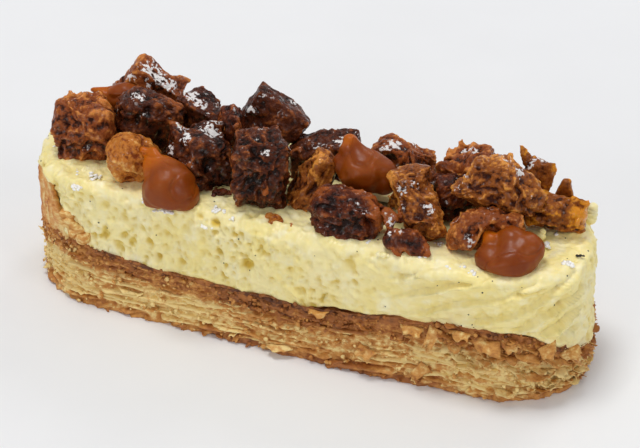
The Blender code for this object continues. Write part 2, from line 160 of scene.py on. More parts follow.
# The chunks, by what each has of its own: how much fuller than its solid it is (the
# others by FULLNESS), how many rounds of smoothing turn its solid from a cut block into
# a lump, how craggy it is, its look where its slot doesn't say, and its ears: thin
# blades of pastry that stand out of it, as (tip in mm, width in mm). What rises above
# HIGHEST is pressed down.
FULLNESS = 1.05
HIGHEST = 48.2 * MM
CHUNKS = {
    "left_front": {"full": 1.02, "rounds": 10, "ears": (
        ((-56.6, -3.5, 43), 2.8), ((-53, -3, 42.2), 2.8), ((-48.4, -2.4, 41.6), 3.2),
    )},
    "left_peak": {"craggy": 0.5, "look": "russet"},
    "left_middle": {"rounds": 6, "craggy": 0.8, "ears": (((-45.4, 0.6, 41), 3), ((-34.6, 3, 42.4), 3))},
    "left_golden": {"rounds": 3, "craggy": 0.6},
    "back_slope": {"craggy": 0.55},
    "back_small": {"craggy": 0.7},
    "sugared": {"rounds": 4, "craggy": 0.8, "ears": (((-29.6, -3.4, 41.6), 3), ((-18, -6, 38), 3))},
    "curl": {"craggy": 0.5, "look": "ruby"},
    "tall_back": {"craggy": 0.42},
    "tall_front": {"full": 1.03, "rounds": 7, "ears": (((-14.2, -5.5, 46.4), 3.6), ((-4, -15.6, 36), 3))},
    "bar": {"craggy": 0.7},
    "wedge": {"craggy": 0.6, "look": "toffee", "ears": (((3.4, -4.6, 41.4), 3.2),)},
    "ruby": {"rounds": 5, "look": "ruby", "ears": (
        ((21.8, -8.8, 35.2), 6.5), ((8, -13, 38.6), 3.4), ((15.9, -9.6, 39.2), 3),
    )},
    "back_round": {"full": 0.96, "rounds": 8},
    "leaning": {"full": 0.98, "rounds": 6, "look": "toffee", "ears": (
        ((21, -6.5, 40.4), 3.2), ((25.4, -3.4, 40.4), 3), ((32.4, -8.2, 35), 3), ((19.4, -5.4, 33.8), 7.5),
    )},
    "flaky_low": {"full": 0.92, "rounds": 4, "craggy": 0.7, "look": "ruby", "ears": (
        ((27.4, -17.4, 30.9), 3.6), ((21.4, -12.4, 36), 4.2), ((33.6, -15.4, 32), 3), ((24.6, -9.6, 37), 4.4),
    )},
    "back_high": {"full": 1.0, "ears": (((28, 8, 40.6), 3.4), ((30, 11.4, 42), 3.4))},
    "between": {"full": 1.3, "craggy": 0.6, "look": "ruby", "ears": (((32.6, -2.6, 38), 2.6),)},
    "golden_top": {"full": 0.97, "rounds": 8, "look": "toffee", "ears": (
        ((41.2, 0.4, 47.2), 4), ((36.2, -3, 45.4), 3.4), ((45.5, 2, 46.8), 3),
    )},
    "shard": {"craggy": 0.35, "look": "amber", "ears": (((43.9, 9.9, 45.9), 2.8), ((51.9, 9.2, 43.9), 3))},
    "right_end": {"full": 0.96, "rounds": 4, "craggy": 0.75, "ears": (
        ((60.2, 5.2, 38), 4.4), ((59.6, 3.2, 34.4), 3.8), ((50, 1.2, 34), 3),
    )},
    "right_front": {"full": 1.12, "rounds": 10, "craggy": 0.8, "ears": (
        ((35.4, -9.6, 33.6), 3.4), ((49.3, -5, 35.4), 3.2), ((37.6, -6.6, 38.2), 3), ((44.6, -9, 33), 5),
    )},
    "spike": {"craggy": 0.25, "look": "amber"},
}

# How much the chunks' lumps, folds and crumb stand out in mm, then the hollows worn
# into them in three sizes, as (how far apart they lie in mm, how many places hold one,
# how deep it is in mm)
LUMP_RELIEF, FOLD_RELIEF, CRUMB_RELIEF = 0.6, 1.45, 0.55
HOLLOWS = ((4.2, 0.5, 1.5), (1.9, 0.35, 0.55), (1.0, 0.5, 0.25))

# How deep the chunks and the drops may sink into the cream
CHUNK_SINK, DROP_SINK = 0.9 * MM, 0.6 * MM

# Where powdered sugar lies, as (middle in mm, radius in mm)
DUSTINGS = (
    ((-43.5, 9.5, 44.5), 2.6), ((-41, 10.2, 43.2), 2.2), ((-46.2, 7.2, 43), 1.8),
    ((-38.2, 10.6, 41.6), 2.2), ((-32.5, 9.1, 41), 2.2), ((-30, 8.8, 39.9), 1.8),
    ((-40.2, -1.6, 43.6), 2.2), ((-38.6, -2.9, 41.6), 1.4), ((-51.4, -6.8, 41.6), 0.9),
    ((-52.4, -10.4, 39), 0.8), ((-49.3, -9.2, 36.6), 0.8),
    ((-22.2, -2.4, 41.3), 3.2), ((-25.2, -8.8, 41.4), 1.8), ((-20.2, -8.4, 38.6), 1.6),
    ((-29.1, -7.8, 37.4), 2), ((-28.6, -3.4, 41), 1.8), ((-16, 4.6, 43.6), 1.8),
    ((-10.3, 13, 41.6), 1.4), ((-5, -11.6, 44.6), 1.2), ((-9, -14.4, 41.2), 1),
    ((-12, -12.4, 39.5), 1), ((4.1, 7.2, 38.6), 1.6), ((14.3, 5.6, 39.6), 2.2),
    ((16.2, 8.6, 40), 2), ((24.3, -8.2, 40.4), 1.9), ((25.2, -8.6, 38.8), 1.2),
    ((30.6, -9.4, 38.2), 1.4), ((33.4, 8.8, 41.6), 1.8), ((31.6, 9.4, 41.4), 1.2),
    ((46.6, -0.4, 45.6), 1.5), ((51.4, -2.4, 41.6), 1.4), ((48.4, 2.6, 44.6), 1.4),
    ((43.4, -6.6, 38.2), 1.8), ((16, -13, 38.2), 0.8), ((25, -16.2, 34.8), 0.8),
)

# Powdered sugar that fell on the cream, as middles in mm
FALLEN = (
    (-47.5, -18.4, 29.2), (-44.8, -14.2, 30.2), (-27.9, -17.8, 28.2), (-14.6, -15.7, 30.0),
    (-16.7, -17.9, 26.9), (53.6, -1.5, 30.2), (38.1, -16.3, 29.7), (42.6, -16.7, 29.7),
    (-25.8, -18.0, 28.6), (-30.2, -17.2, 29.4), (60.2, -6.0, 30.0),
)

# Small bits on the cream, as (look, finish, lumps of (x, y, z, radius) in mm)
BITS = {
    "golden_crumb": ("golden", "golden", (
        (-3.2, -13.9, 30.4, 1.1), (-1.9, -14.2, 30.6, 1.3), (-0.8, -14.4, 30.3, 0.9),
        (-2.5, -15.2, 30.1, 0.7), (1.9, -14.8, 30.1, 0.45), (-5.0, -15.4, 29.9, 0.4),
    )),
    "dark_crumb": ("ruby", "dark", (
        (-17.6, -9.9, 30.5, 1.0), (-16.4, -9.4, 30.8, 1.2), (-15.1, -9.2, 30.6, 0.8),
        (-17.9, -10.9, 30.3, 0.6),
    )),
    "cream_curl": ("cream", "cream", (
        (51.3, -0.9, 30.6, 1.5), (52.2, -0.5, 31.6, 1.2), (52.5, -0.1, 32.5, 0.8),
    )),
    "cream_peak": ("cream", "cream", (
        (58.9, 12.0, 30.2, 1.7), (59.2, 12.2, 31.2, 1.5), (59.4, 12.3, 32.2, 1.3), (59.5, 12.3, 33.0, 1.1),
    )),
    "vanilla_bit": ("vanilla", "cream", (
        (61.0, -2.6, 30.3, 0.35), (61.6, -2.4, 30.4, 0.4), (62.2, -2.2, 30.3, 0.3),
    )),
    "pale_peel": ("cream", "cream", (
        (23.0, -17.6, 30.0, 0.7), (24.0, -17.6, 30.1, 0.8), (24.9, -17.4, 30.0, 0.5),
    )),
    "tan_bit": ("flake", "pastry", (
        (-49.9, -17.2, 19.0, 2.3), (-48.3, -17.5, 17.6, 2.2), (-50.6, -16.9, 21.0, 1.9),
        (-46.6, -17.9, 16.8, 1.8),
    )),
}

# The caramel drops: how far the clear amber reaches from the tip, then the lumps that
# are added to the solid, the tip's first, as (middle in mm, radius in mm)
DROPS = {
    "caramel_left_back": (6.5 * MM, (
        ((-54.0, 3.4, 40.8), 0.75), ((-53.0, 3.6, 40.7), 1.0), ((-51.6, 3.9, 40.3), 1.6),
        ((-50.0, 4.2, 39.7), 2.4), ((-47.8, 4.8, 39.0), 3.2),
    )),
    "caramel_left_front": (10 * MM, (
        ((-33.6, -12.5, 38.6), 1.2), ((-31.4, -12.2, 38.4), 1.6), ((-30.6, -13.6, 36.6), 2.4),
        ((-28.6, -14.4, 34.8), 3.8), ((-28.2, -16.6, 31.8), 3.8), ((-25.0, -15.2, 33.6), 4.4),
        ((-23.0, -15.4, 31.8), 3.6),
    )),
    "caramel_middle": (4.5 * MM, (
        ((8.9, 0.8, 44.0), 1.4), ((9.4, 0.2, 43.0), 1.7), ((10.0, -0.4, 41.6), 2.8),
        ((16.2, -0.6, 38.6), 3.2), ((17.4, -1.2, 37.0), 2.8), ((8.9, -1.9, 39.4), 2.8),
    )),
    "caramel_right": (3.5 * MM, (
        ((43.9, -9.6, 35.2), 1.2), ((44.8, -10.2, 34.2), 2.0), ((51.8, -9.0, 33.4), 3.8),
        ((45.4, -12.4, 31.8), 3.2), ((48.8, -8.6, 34.4), 3.4), ((50.8, -12.2, 31.8), 3.2),
    )),
}

# The large flakes at the front: (distance along the front, height of the root, width,
# length) in mm, then how far they droop and roll in degrees
LEAVES = (
    (36.4, 15.6, 3.2, 5.4, -68, 14), (47.4, 15.4, 7.0, 3.6, -52, -8), (52.6, 15.8, 4.0, 2.6, -60, 12),
    (60.4, 16.2, 5.0, 3.4, -48, -14), (41.6, 16.2, 5.2, 2.4, -38, 6), (34.6, 5.6, 3.0, 4.0, -62, 32),
    (31.0, 14.6, 5.6, 2.6, -34, 6), (66.0, 14.0, 5.4, 3.0, -40, 10), (56.0, 12.6, 6.0, 2.6, -30, -16),
    (62.0, 10.4, 6.4, 2.8, -25, -20), (68.0, 9.0, 6.0, 2.8, -30, -24), (58.6, 7.2, 6.8, 2.6, -20, -18),
    (10.0, 13.4, 4.8, 1.8, -20, 8), (2.0, 2.4, 6.0, 2.2, -20, 4), (22.0, 6.8, 4.6, 2.8, -48, 10),
)


def smooth_step(value):
    """0 below 0, 1 above 1, and a smooth ramp between."""
    held = np.clip(value, 0.0, 1.0)
    return held * held * (3 - 2 * held)


def within(value, low, rise, high, fall):
    """1 between low and high, with smooth ramps of those lengths inside its ends."""
    return smooth_step((value - low) / rise) * smooth_step((high - value) / fall)


def cell_random(cells, seed):
    """A repeatable number from 0 to 1 for each cell of whole numbers."""
    mixed = cells[..., 0] * 73856093 ^ cells[..., 1] * 19349663 ^ cells[..., 2] * 83492791
    mixed = (mixed ^ (seed * 40503 + 977)) & 0x7FFFFFFF
    mixed = ((mixed >> 15) ^ mixed) * 0x2C1B3C6D & 0x7FFFFFFF
    mixed = ((mixed >> 12) ^ mixed) * 0x297A2D39 & 0x7FFFFFFF
    return ((mixed >> 15) ^ mixed) % 65536 / 65535.0


def value_noise(points, size, seed):
    """Smooth noise from -1 to 1 with bumps of that size, at an (n, 3) array of points.
    Here and below, a seed is any number that only sets one pattern apart from others."""
    scaled = np.asarray(points, float) / size + seed * 0.37
    cells = np.floor(scaled).astype(np.int64)
    part = scaled - cells
    part = part * part * (3 - 2 * part)
    total = np.zeros(len(scaled))
    for corner in range(8):
        step = np.array([corner & 1, corner >> 1 & 1, corner >> 2 & 1])
        share = np.prod(np.where(step == 1, part, 1 - part), axis=-1)
        total += share * cell_random(cells + step, seed)
    return total * 2 - 1


def layered(pattern, points, size, seed, octaves):
    """What the pattern makes of noise on several scales, each half the size of the last."""
    total, weight, norm = 0.0, 1.0, 0.0
    for octave in range(octaves):
        total = total + weight * pattern(value_noise(points, size / 2**octave, seed + 17 * octave))
        norm += weight
        weight *= 0.5
    return total / norm


def fractal(points, size, seed, octaves=3):
    """Noise from -1 to 1 with finer noise on it."""
    return layered(lambda value: value, points, size, seed, octaves)


def ridged(points, size, seed, octaves=2):
    """Noise from 0 to 1 with sharp crests."""
    return layered(lambda value: (1 - np.abs(value)) ** 2, points, size, seed, octaves)


def wander(points, size, reach, seed):
    """The points, each moved by up to reach in a way that varies smoothly."""
    moves = [value_noise(points, size, seed + 7 * axis) for axis in range(3)]
    return points + reach * np.stack(moves, -1)


def cell_distances(points, size, seed):
    """The distance to the nearest of points scattered one to a cell, in sizes, and a
    random number that belongs to it."""
    scaled = np.asarray(points, float) / size
    cells = np.floor(scaled).astype(np.int64)
    near = np.full(len(scaled), 9.0)
    mark = np.zeros(len(scaled))
    for corner in range(27):
        other = cells + np.array([corner % 3 - 1, corner // 3 % 3 - 1, corner // 9 - 1])
        jitter = [cell_random(other, seed + 31 * k) for k in range(3)]
        away = np.linalg.norm(other + np.stack(jitter, -1) - scaled, axis=-1)
        closer = away < near
        mark = np.where(closer, cell_random(other, seed + 997), mark)
        near = np.where(closer, away, near)
    return near, mark


def crust_height(x):
    """How high the pastry's top lies at this place along the slice."""
    left = smooth_step((LEVEL_FROM - x) / LEFT_RUN) * CRUST_LEFT_RISE
    right = smooth_step((x - LEVEL_TO) / RIGHT_RUN) * CRUST_RIGHT_RISE
    fall = np.maximum(0.0, (x - TIP_FROM) / TIP_RUN) ** 3 * TIP_FALL
    return CRUST_MIDDLE + left + right - fall


def lip_share(x, y):
    """How far the strip of pastry at the left end stands up here, from 0 to 1."""
    angle = np.arctan2(y, x + HALF_RUN) % (2 * math.pi)
    share = smooth_step((1 - np.abs(angle - LIP_MIDDLE) / LIP_HALF_ANGLE) * 2.2)
    return np.where(x > RADIUS / 2 - HALF_RUN, 0.0, share)


def pastry_spread(x, height):
    """How far the pastry widens here towards its foot."""
    along = smooth_step((SPREAD_REACH - np.abs(x - SPREAD_MIDDLE)) / SPREAD_RUN)
    return PASTRY_SPREAD * along * (1 - np.clip(height / PASTRY_TOP, 0, 1))


def stadium(walked):
    """Points on the stadium outline at these distances from the middle of its front,
    counter-clockwise, and the outward directions there, as (n, 2) arrays."""
    walked = (np.asarray(walked, float) + HALF_RUN) % PERIMETER
    bend = math.pi * RADIUS
    marks = [2 * HALF_RUN, 2 * HALF_RUN + bend, 4 * HALF_RUN + bend]
    leg = np.searchsorted(marks, walked, side="right")
    past = walked - np.array([0.0, *marks])[leg]
    centre = np.choose(leg, [past - HALF_RUN, HALF_RUN, HALF_RUN - past, -HALF_RUN])
    turned = past / RADIUS
    half_turn = np.full(len(past), math.pi / 2)
    angle = np.choose(leg, [-half_turn, turned - math.pi / 2, half_turn, turned + math.pi / 2])
    out = np.stack([np.cos(angle), np.sin(angle)], -1)
    return np.stack([centre, np.zeros(len(past))], -1) + out * RADIUS, out


def outline(columns):
    """Evenly spread places round the stadium: how far along from the front's middle,
    from minus to plus half the way round, and the points and directions there."""
    walked = ((np.arange(columns) + 0.5) / columns - 0.5) * PERIMETER
    return (walked, *stadium(walked))


def grid_normals(grid):
    """Outward normals of a (rows, columns, 3) grid whose rows run down the outside and
    whose columns run counter-clockwise and close."""
    along = np.roll(grid, -1, axis=1) - np.roll(grid, 1, axis=1)
    down = np.gradient(grid, axis=0)
    normals = np.cross(down, along)
    return normals / np.maximum(np.linalg.norm(normals, axis=-1, keepdims=True), 1e-12)


def ring_faces(rows, columns, closed_rows=False):
    """Quads of a grid that closes round its columns, and round its rows if asked."""
    row = np.arange(rows if closed_rows else rows - 1)[:, None]
    col = np.arange(columns)[None, :]
    below = (row + 1) % rows
    right = (col + 1) % columns
    corners = [row * columns + col, below * columns + col, below * columns + right, row * columns + right]
    return np.stack([np.broadcast_to(c, (len(row), columns)) for c in corners], -1).reshape(-1, 4)


def cap_faces(first, columns, upward):
    """Quads that close a ring of columns by joining each to the one across."""
    quads = []
    for k in range(columns // 2 - 1):
        quad = (first + k, first + k + 1, first + columns - 2 - k, first + columns - 1 - k)
        quads.append(quad if upward else quad[::-1])
    return np.array(quads)


def block_faces(rows, columns):
    """Quads of a closed block: the grid down its outside, its top and its foot."""
    top = cap_faces(0, columns, True)
    foot = cap_faces((rows - 1) * columns, columns, False)
    return np.concatenate([ring_faces(rows, columns), top, foot])


def sheet_faces(rows, columns):
    """Quads of a thin sheet, whose points are a grid for its upper side and the same
    for its lower side, with the rim that joins them."""
    count = rows * columns
    faces = []
    for i in range(rows - 1):
        for j in range(columns - 1):
            a, b = i * columns + j, (i + 1) * columns + j
            faces.append((a, b, b + 1, a + 1))
            faces.append((count + a + 1, count + b + 1, count + b, count + a))
    rim = [i * columns for i in range(rows)] + [(rows - 1) * columns + j for j in range(1, columns)]
    rim += [i * columns + columns - 1 for i in range(rows - 2, -1, -1)]
    rim += list(range(columns - 2, 0, -1))
    return faces + [(b, a, count + a, count + b) for a, b in zip(rim, rim[1:] + rim[:1])]


def add_object(name, data):
    """A new object in the scene."""
    obj = bpy.data.objects.new(name, data)
    bpy.context.scene.collection.objects.link(obj)
    return obj


def mesh_object(name, points, faces, material):
    """A smooth-shaded object made of these points and faces."""
    mesh = bpy.data.meshes.new(name)
    faces = faces if isinstance(faces, list) else faces.tolist()
    mesh.from_pydata(np.asarray(points).tolist(), [], faces)
    mesh.shade_smooth()
    obj = add_object(name, mesh)
    obj.data.materials.append(material)
    return obj


def set_attribute(obj, name, values):
    """Stores one number for each vertex."""
    attribute = obj.data.attributes.new(name, "FLOAT", "POINT")
    attribute.data.foreach_set("value", np.asarray(values, np.float32))


def dress(piece, slot, *nodes):
    """Every piece rides on the one body and stands for nodes, whose parts it hides; the slot
    is not used.
    """
    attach(piece, "root")
    if nodes:
        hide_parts(*nodes)


class Heap:
    """Gathers small shapes into one mesh, with one number for each of their points."""

    def __init__(self):
        self.points, self.faces, self.values, self.count = [], {}, [], 0

    def add(self, points, faces, value=0.0):
        """Takes in a shape, with one number or one for each of its points."""
        sides = len(faces[0])
        self.faces.setdefault(sides, []).append(np.asarray(faces) + self.count)
        self.points.append(points)
        self.values.append(np.broadcast_to(value, len(points)))
        self.count += len(points)

    def build(self, name, material, attribute=None):
        """One object made of all that was taken in."""
        faces = [face for same in self.faces.values() for face in np.concatenate(same).tolist()]
        obj = mesh_object(name, np.concatenate(self.points), faces, material)
        if attribute:
            set_attribute(obj, attribute, np.concatenate(self.values))
        return obj


# Materials


class Shading:
    """A material's node tree, with short ways to add the nodes used here."""

    def __init__(self, name):
        self.material = bpy.data.materials.new(name)
        self.material.use_nodes = True
        self.tree = self.material.node_tree
        self.shader = self.tree.nodes["Principled BSDF"]
        self.place = self.tree.nodes.new("ShaderNodeTexCoord").outputs["Object"]

    def link(self, source, target):
        """Puts a number, a colour or another node's output into a socket."""
        if isinstance(source, (int, float)):
            target.default_value = source
        elif isinstance(source, tuple):
            target.default_value = (*source, 1)
        else:
            self.tree.links.new(source, target)

    def noise(self, size, detail=4.0, stretch=(1, 1, 1)):
        """Noise of that size, from 0 to 1, stretched along the axes."""
        mapping = self.tree.nodes.new("ShaderNodeMapping")
        mapping.inputs["Scale"].default_value = [1 / s for s in stretch]
        node = self.tree.nodes.new("ShaderNodeTexNoise")
        node.inputs["Scale"].default_value = 1 / size
        node.inputs["Detail"].default_value = detail
        node.inputs["Roughness"].default_value = 0.55
        self.tree.links.new(self.place, mapping.inputs["Vector"])
        self.tree.links.new(mapping.outputs["Vector"], node.inputs["Vector"])
        return node.outputs["Fac"]

    def attribute(self, name):
        """A number that is stored on the mesh."""
        node = self.tree.nodes.new("ShaderNodeAttribute")
        node.attribute_name = name
        return node.outputs["Fac"]

    def math(self, kind, a, b=0.0):
        """Arithmetic on numbers and outputs."""
        node = self.tree.nodes.new("ShaderNodeMath")
        node.operation = kind
        self.link(a, node.inputs[0])
        self.link(b, node.inputs[1])
        return node.outputs[0]

    def fit(self, value, low, high, to_low=0.0, to_high=1.0):
        """A smooth ramp from low to high."""
        node = self.tree.nodes.new("ShaderNodeMapRange")
        node.interpolation_type = "SMOOTHSTEP"
        self.link(value, node.inputs["Value"])
        node.inputs["From Min"].default_value = low
        node.inputs["From Max"].default_value = high
        node.inputs["To Min"].default_value = to_low
        node.inputs["To Max"].default_value = to_high
        return node.outputs["Result"]

    def mix(self, share, a, b):
        """Colour a where share is 0 and b where it is 1."""
        node = self.tree.nodes.new("ShaderNodeMix")
        node.data_type = "RGBA"
        self.link(share, node.inputs[0])
        self.link(a, node.inputs[6])
        self.link(b, node.inputs[7])
        return node.outputs[2]

    def bump(self, height, strength, distance):
        """Shades the surface as if it rose with the height."""
        node = self.tree.nodes.new("ShaderNodeBump")
        node.inputs["Strength"].default_value = strength
        node.inputs["Distance"].default_value = distance
        self.link(height, node.inputs["Height"])
        self.tree.links.new(node.outputs["Normal"], self.shader.inputs["Normal"])

    def finish(self, **sockets):
        """Sets the shader's own sockets, named with _ for a space."""
        for name, value in sockets.items():
            self.link(value, self.shader.inputs[name.replace("_", " ")])
        return self.material


def srgb(red, green, blue):
    """A colour that is given as it looks, in 0 to 255, as the shader needs it."""
    shown = np.array([red, green, blue]) / 255
    linear = np.where(shown <= 0.04045, shown / 12.92, ((shown + 0.055) / 1.055) ** 2.4)
    return tuple(float(v) for v in linear)


def cream_material():
    """Pale cream, a deeper yellow where the mesh stores painted shade: in its bubble pits
    and the troughs of its waves.
    """
    s = Shading("cream")
    pit_shade = s.attribute("pit_shade")
    colour = s.mix(s.fit(s.noise(13 * MM, 3), 0.35, 0.65), srgb(252, 238, 178), srgb(250, 232, 154))
    colour = s.mix(s.fit(s.noise(3.4 * MM), 0.45, 0.75), colour, srgb(252, 242, 196))
    # Painted shade: the bubble pits and wave troughs take a deeper yellow.
    colour = s.mix(s.fit(pit_shade, 0.05, 0.9), colour, srgb(226, 198, 92))
    s.bump(s.noise(1.1 * MM), 0.55, 0.3 * MM)
    s.shader.inputs["Subsurface Radius"].default_value = (1.0, 0.8, 0.35)
    return s.finish(
        Base_Color=colour,
        Roughness=s.fit(s.noise(4 * MM), 0.3, 0.7, 0.3, 0.5),
        Subsurface_Weight=0.1,
        Subsurface_Scale=0.5 * MM,
    )


def pastry_material(name, pale, golden, brown):
    """Pastry coloured by its browning stored on the mesh, with painted shade added where the
    core's wall lies deep.
    """
    s = Shading(name)
    bake_and_shade = s.math("ADD", s.attribute("bake_and_shade"), s.fit(s.noise(1.6 * MM), 0.3, 0.7, -0.22, 0.22))
    fleck = s.fit(s.noise(0.5 * MM, stretch=(2.2, 2.2, 0.8)), 0.35, 0.7, -0.12, 0.14)
    bake_and_shade = s.math("ADD", bake_and_shade, fleck)
    colour = s.mix(s.fit(bake_and_shade, 0.1, 0.55), pale, golden)
    colour = s.mix(s.fit(bake_and_shade, 0.5, 1.0), colour, brown)
    # The darkest brown is partly burnt crust and partly painted shade in the core's deep crevices.
    colour = s.mix(s.fit(bake_and_shade, 1.05, 1.6), colour, srgb(92, 46, 16))
    s.bump(s.noise(0.4 * MM, stretch=(2, 2, 1)), 0.5, 0.15 * MM)
    return s.finish(Base_Color=colour, Roughness=s.fit(s.noise(2 * MM), 0.3, 0.7, 0.5, 0.75))


def chunk_material(name, deep, middle, crest, gloss):
    """Glazed pastry, darkened in its hollows with painted shade and lightest where it is thin
    or stands out, partly its thin edges' own amber and partly painted light, with sugar
    where the mesh stores it."""
    s = Shading(name)
    out = s.math("ADD", s.attribute("crest"), s.fit(s.noise(2.6 * MM, 5), 0.3, 0.7, -0.26, 0.22))
    out = s.math("ADD", out, s.fit(s.noise(0.7 * MM), 0.3, 0.7, -0.16, 0.16))
    # Painted shade: the hollows take the deep colour, and what stands out takes the crest colour, which is
    # partly painted light.
    colour = s.mix(s.fit(out, 0.05, 0.5), deep, middle)
    colour = s.mix(s.fit(out, 0.52, 1.0), colour, crest)
    broken = s.fit(s.noise(0.8 * MM, 3), 0.38, 0.62, -0.5, 0.45)
    sugar = s.fit(s.math("ADD", s.attribute("sugar"), broken), 0.46, 0.72)
    colour = s.mix(sugar, colour, srgb(240, 236, 234))
    wet = s.fit(s.noise(1.5 * MM), 0.35, 0.65, gloss, gloss + 0.22)
    glint = s.fit(s.noise(0.9 * MM, 3), 0.54, 0.62, 0.05, 0.95)
    s.bump(s.noise(0.45 * MM, 5), 1.0, 0.4 * MM)
    s.shader.inputs["Subsurface Radius"].default_value = (1.0, 0.4, 0.1)
    return s.finish(
        Base_Color=colour,
        Roughness=s.math("ADD", wet, s.fit(sugar, 0.0, 1.0, 0.0, 0.5)),
        Specular_IOR_Level=0.14,
        Coat_Weight=s.math("MULTIPLY", glint, s.fit(sugar, 0.0, 1.0, 1.0, 0.0)),
        Coat_Roughness=0.06,
        Subsurface_Weight=s.fit(out, 0.7, 1.1, 0.0, 0.35),
        Subsurface_Scale=0.6 * MM,
    )


def caramel_material():
    """Soft caramel, clearer where the mesh stores that it is thin."""
    s = Shading("caramel")
    thin = s.attribute("thin")
    colour = s.mix(s.fit(s.noise(6 * MM), 0.3, 0.7), srgb(126, 54, 6), srgb(146, 70, 12))
    colour = s.mix(s.fit(thin, 0.1, 0.9), colour, srgb(182, 92, 3))
    s.bump(s.noise(1.6 * MM, 2), 0.15, 0.25 * MM)
    s.shader.inputs["Subsurface Radius"].default_value = (1.0, 0.42, 0.08)
    return s.finish(
        Base_Color=colour,
        Roughness=s.fit(s.noise(3 * MM), 0.3, 0.7, 0.3, 0.48),
        Subsurface_Weight=0.35,
        Subsurface_Scale=1.2 * MM,
        Specular_IOR_Level=0.2,
        Coat_Weight=0.08,
        Coat_Roughness=0.2,
    )


def plain_material(name, light, dark, roughness, size):
    """A small piece's material, mottled between two colours."""
    s = Shading(name)
    colour = s.mix(s.fit(s.noise(size), 0.35, 0.65), light, dark)
    return s.finish(Base_Color=colour, Roughness=roughness)


# Cream


def cream_rows():
    """(inset, height share, how much it is on top) of each row, from the middle of the
    top to the middle of the foot. The height share is 1 at the top and 0 at the foot."""
    inner = RADIUS - CREAM_INSET
    rows = [(inset, 1.0, 1.0) for inset in np.linspace(inner - 0.4 * MM, 10 * MM, 14)]
    rows += [(inset, 1.0, 1.0) for inset in np.arange(9.6 * MM, CREAM_ROUNDING, -CREAM_STEP)]
    tall = CREAM_TOP - CRUST_MIDDLE
    for turn in np.linspace(0, math.pi / 2, 14):
        inset = CREAM_ROUNDING * (1 - math.sin(turn))
        drop = CREAM_ROUNDING * (1 - math.cos(turn))
        rows.append((inset, 1 - drop / tall, math.cos(turn)))
    first = 1 - CREAM_ROUNDING / tall
    rows += [(0.0, share, 0.0) for share in np.linspace(first, 0.0, int(tall * first / CREAM_STEP))[1:]]
    return rows + [(0.4 * MM, -0.03, 0.0), (1.2 * MM, -0.04, 0.0), (inner - 1 * MM, -0.04, 0.0)]


def bubbles(points, strength):
    """How deep the burst bubbles are at these points, in mm, in four sizes."""
    depth = np.zeros(len(points))
    for seed, (size, reach, chance, deep) in enumerate(BUBBLES):
        placed = wander(points, size * MM, 0.3 * size * MM, 90 + seed)
        near, mark = cell_distances(placed, size * MM, seed + 1)
        radius = reach * (0.55 + 0.45 * mark / chance)
        depth += smooth_step(1.15 - 1.15 * near / radius) * (mark < chance) * deep
    return depth * strength * BUBBLE_DEPTH


def smears(walked, points, on_top):
    """How far the spatula's folds raise the cream's right half, in mm."""
    z = points[:, 2]
    fade = within(walked, SMEAR_FROM, 16 * MM, SMEAR_TO, 10 * MM)
    stroke = z - SMEAR_RISE * (walked - 45 * MM)
    stroke = stroke + 0.9 * MM * value_noise(points, 9 * MM, 63) + 0.35 * MM * value_noise(points, 3 * MM, 67)
    phase = (stroke / SMEAR_STEP) % 1.0
    fold = phase - smooth_step((phase - 0.86) / 0.14)
    size = 0.55 + 0.45 * smooth_step(0.5 + value_noise(points, 8 * MM, 68))
    raised = (fold - 0.4) * SMEAR_RELIEF * fade * size * (1 - on_top)
    along = within(walked, LEDGE_FROM, 8 * MM, LEDGE_TO, 6 * MM)
    ledge = LEDGE_HEIGHT + LEDGE_RISE * (walked - LEDGE_FROM) + 0.5 * MM * value_noise(points, 7 * MM, 69)
    over = (z - ledge) / MM
    raised = raised + along * LEDGE_RELIEF * smooth_step(over / 0.7 + 0.5) * (1 - on_top)
    raised = raised - along * LEDGE_GROOVE * np.exp(-((over / 0.5) ** 2))
    slit = within(walked, SLIT_FROM, 2 * MM, SLIT_TO, 2 * MM)
    bend = SLIT_HEIGHT + SLIT_RISE * (walked - SLIT_FROM)
    return raised - SLIT_DEPTH * slit * np.exp(-(((z - bend) / (0.4 * MM)) ** 2))


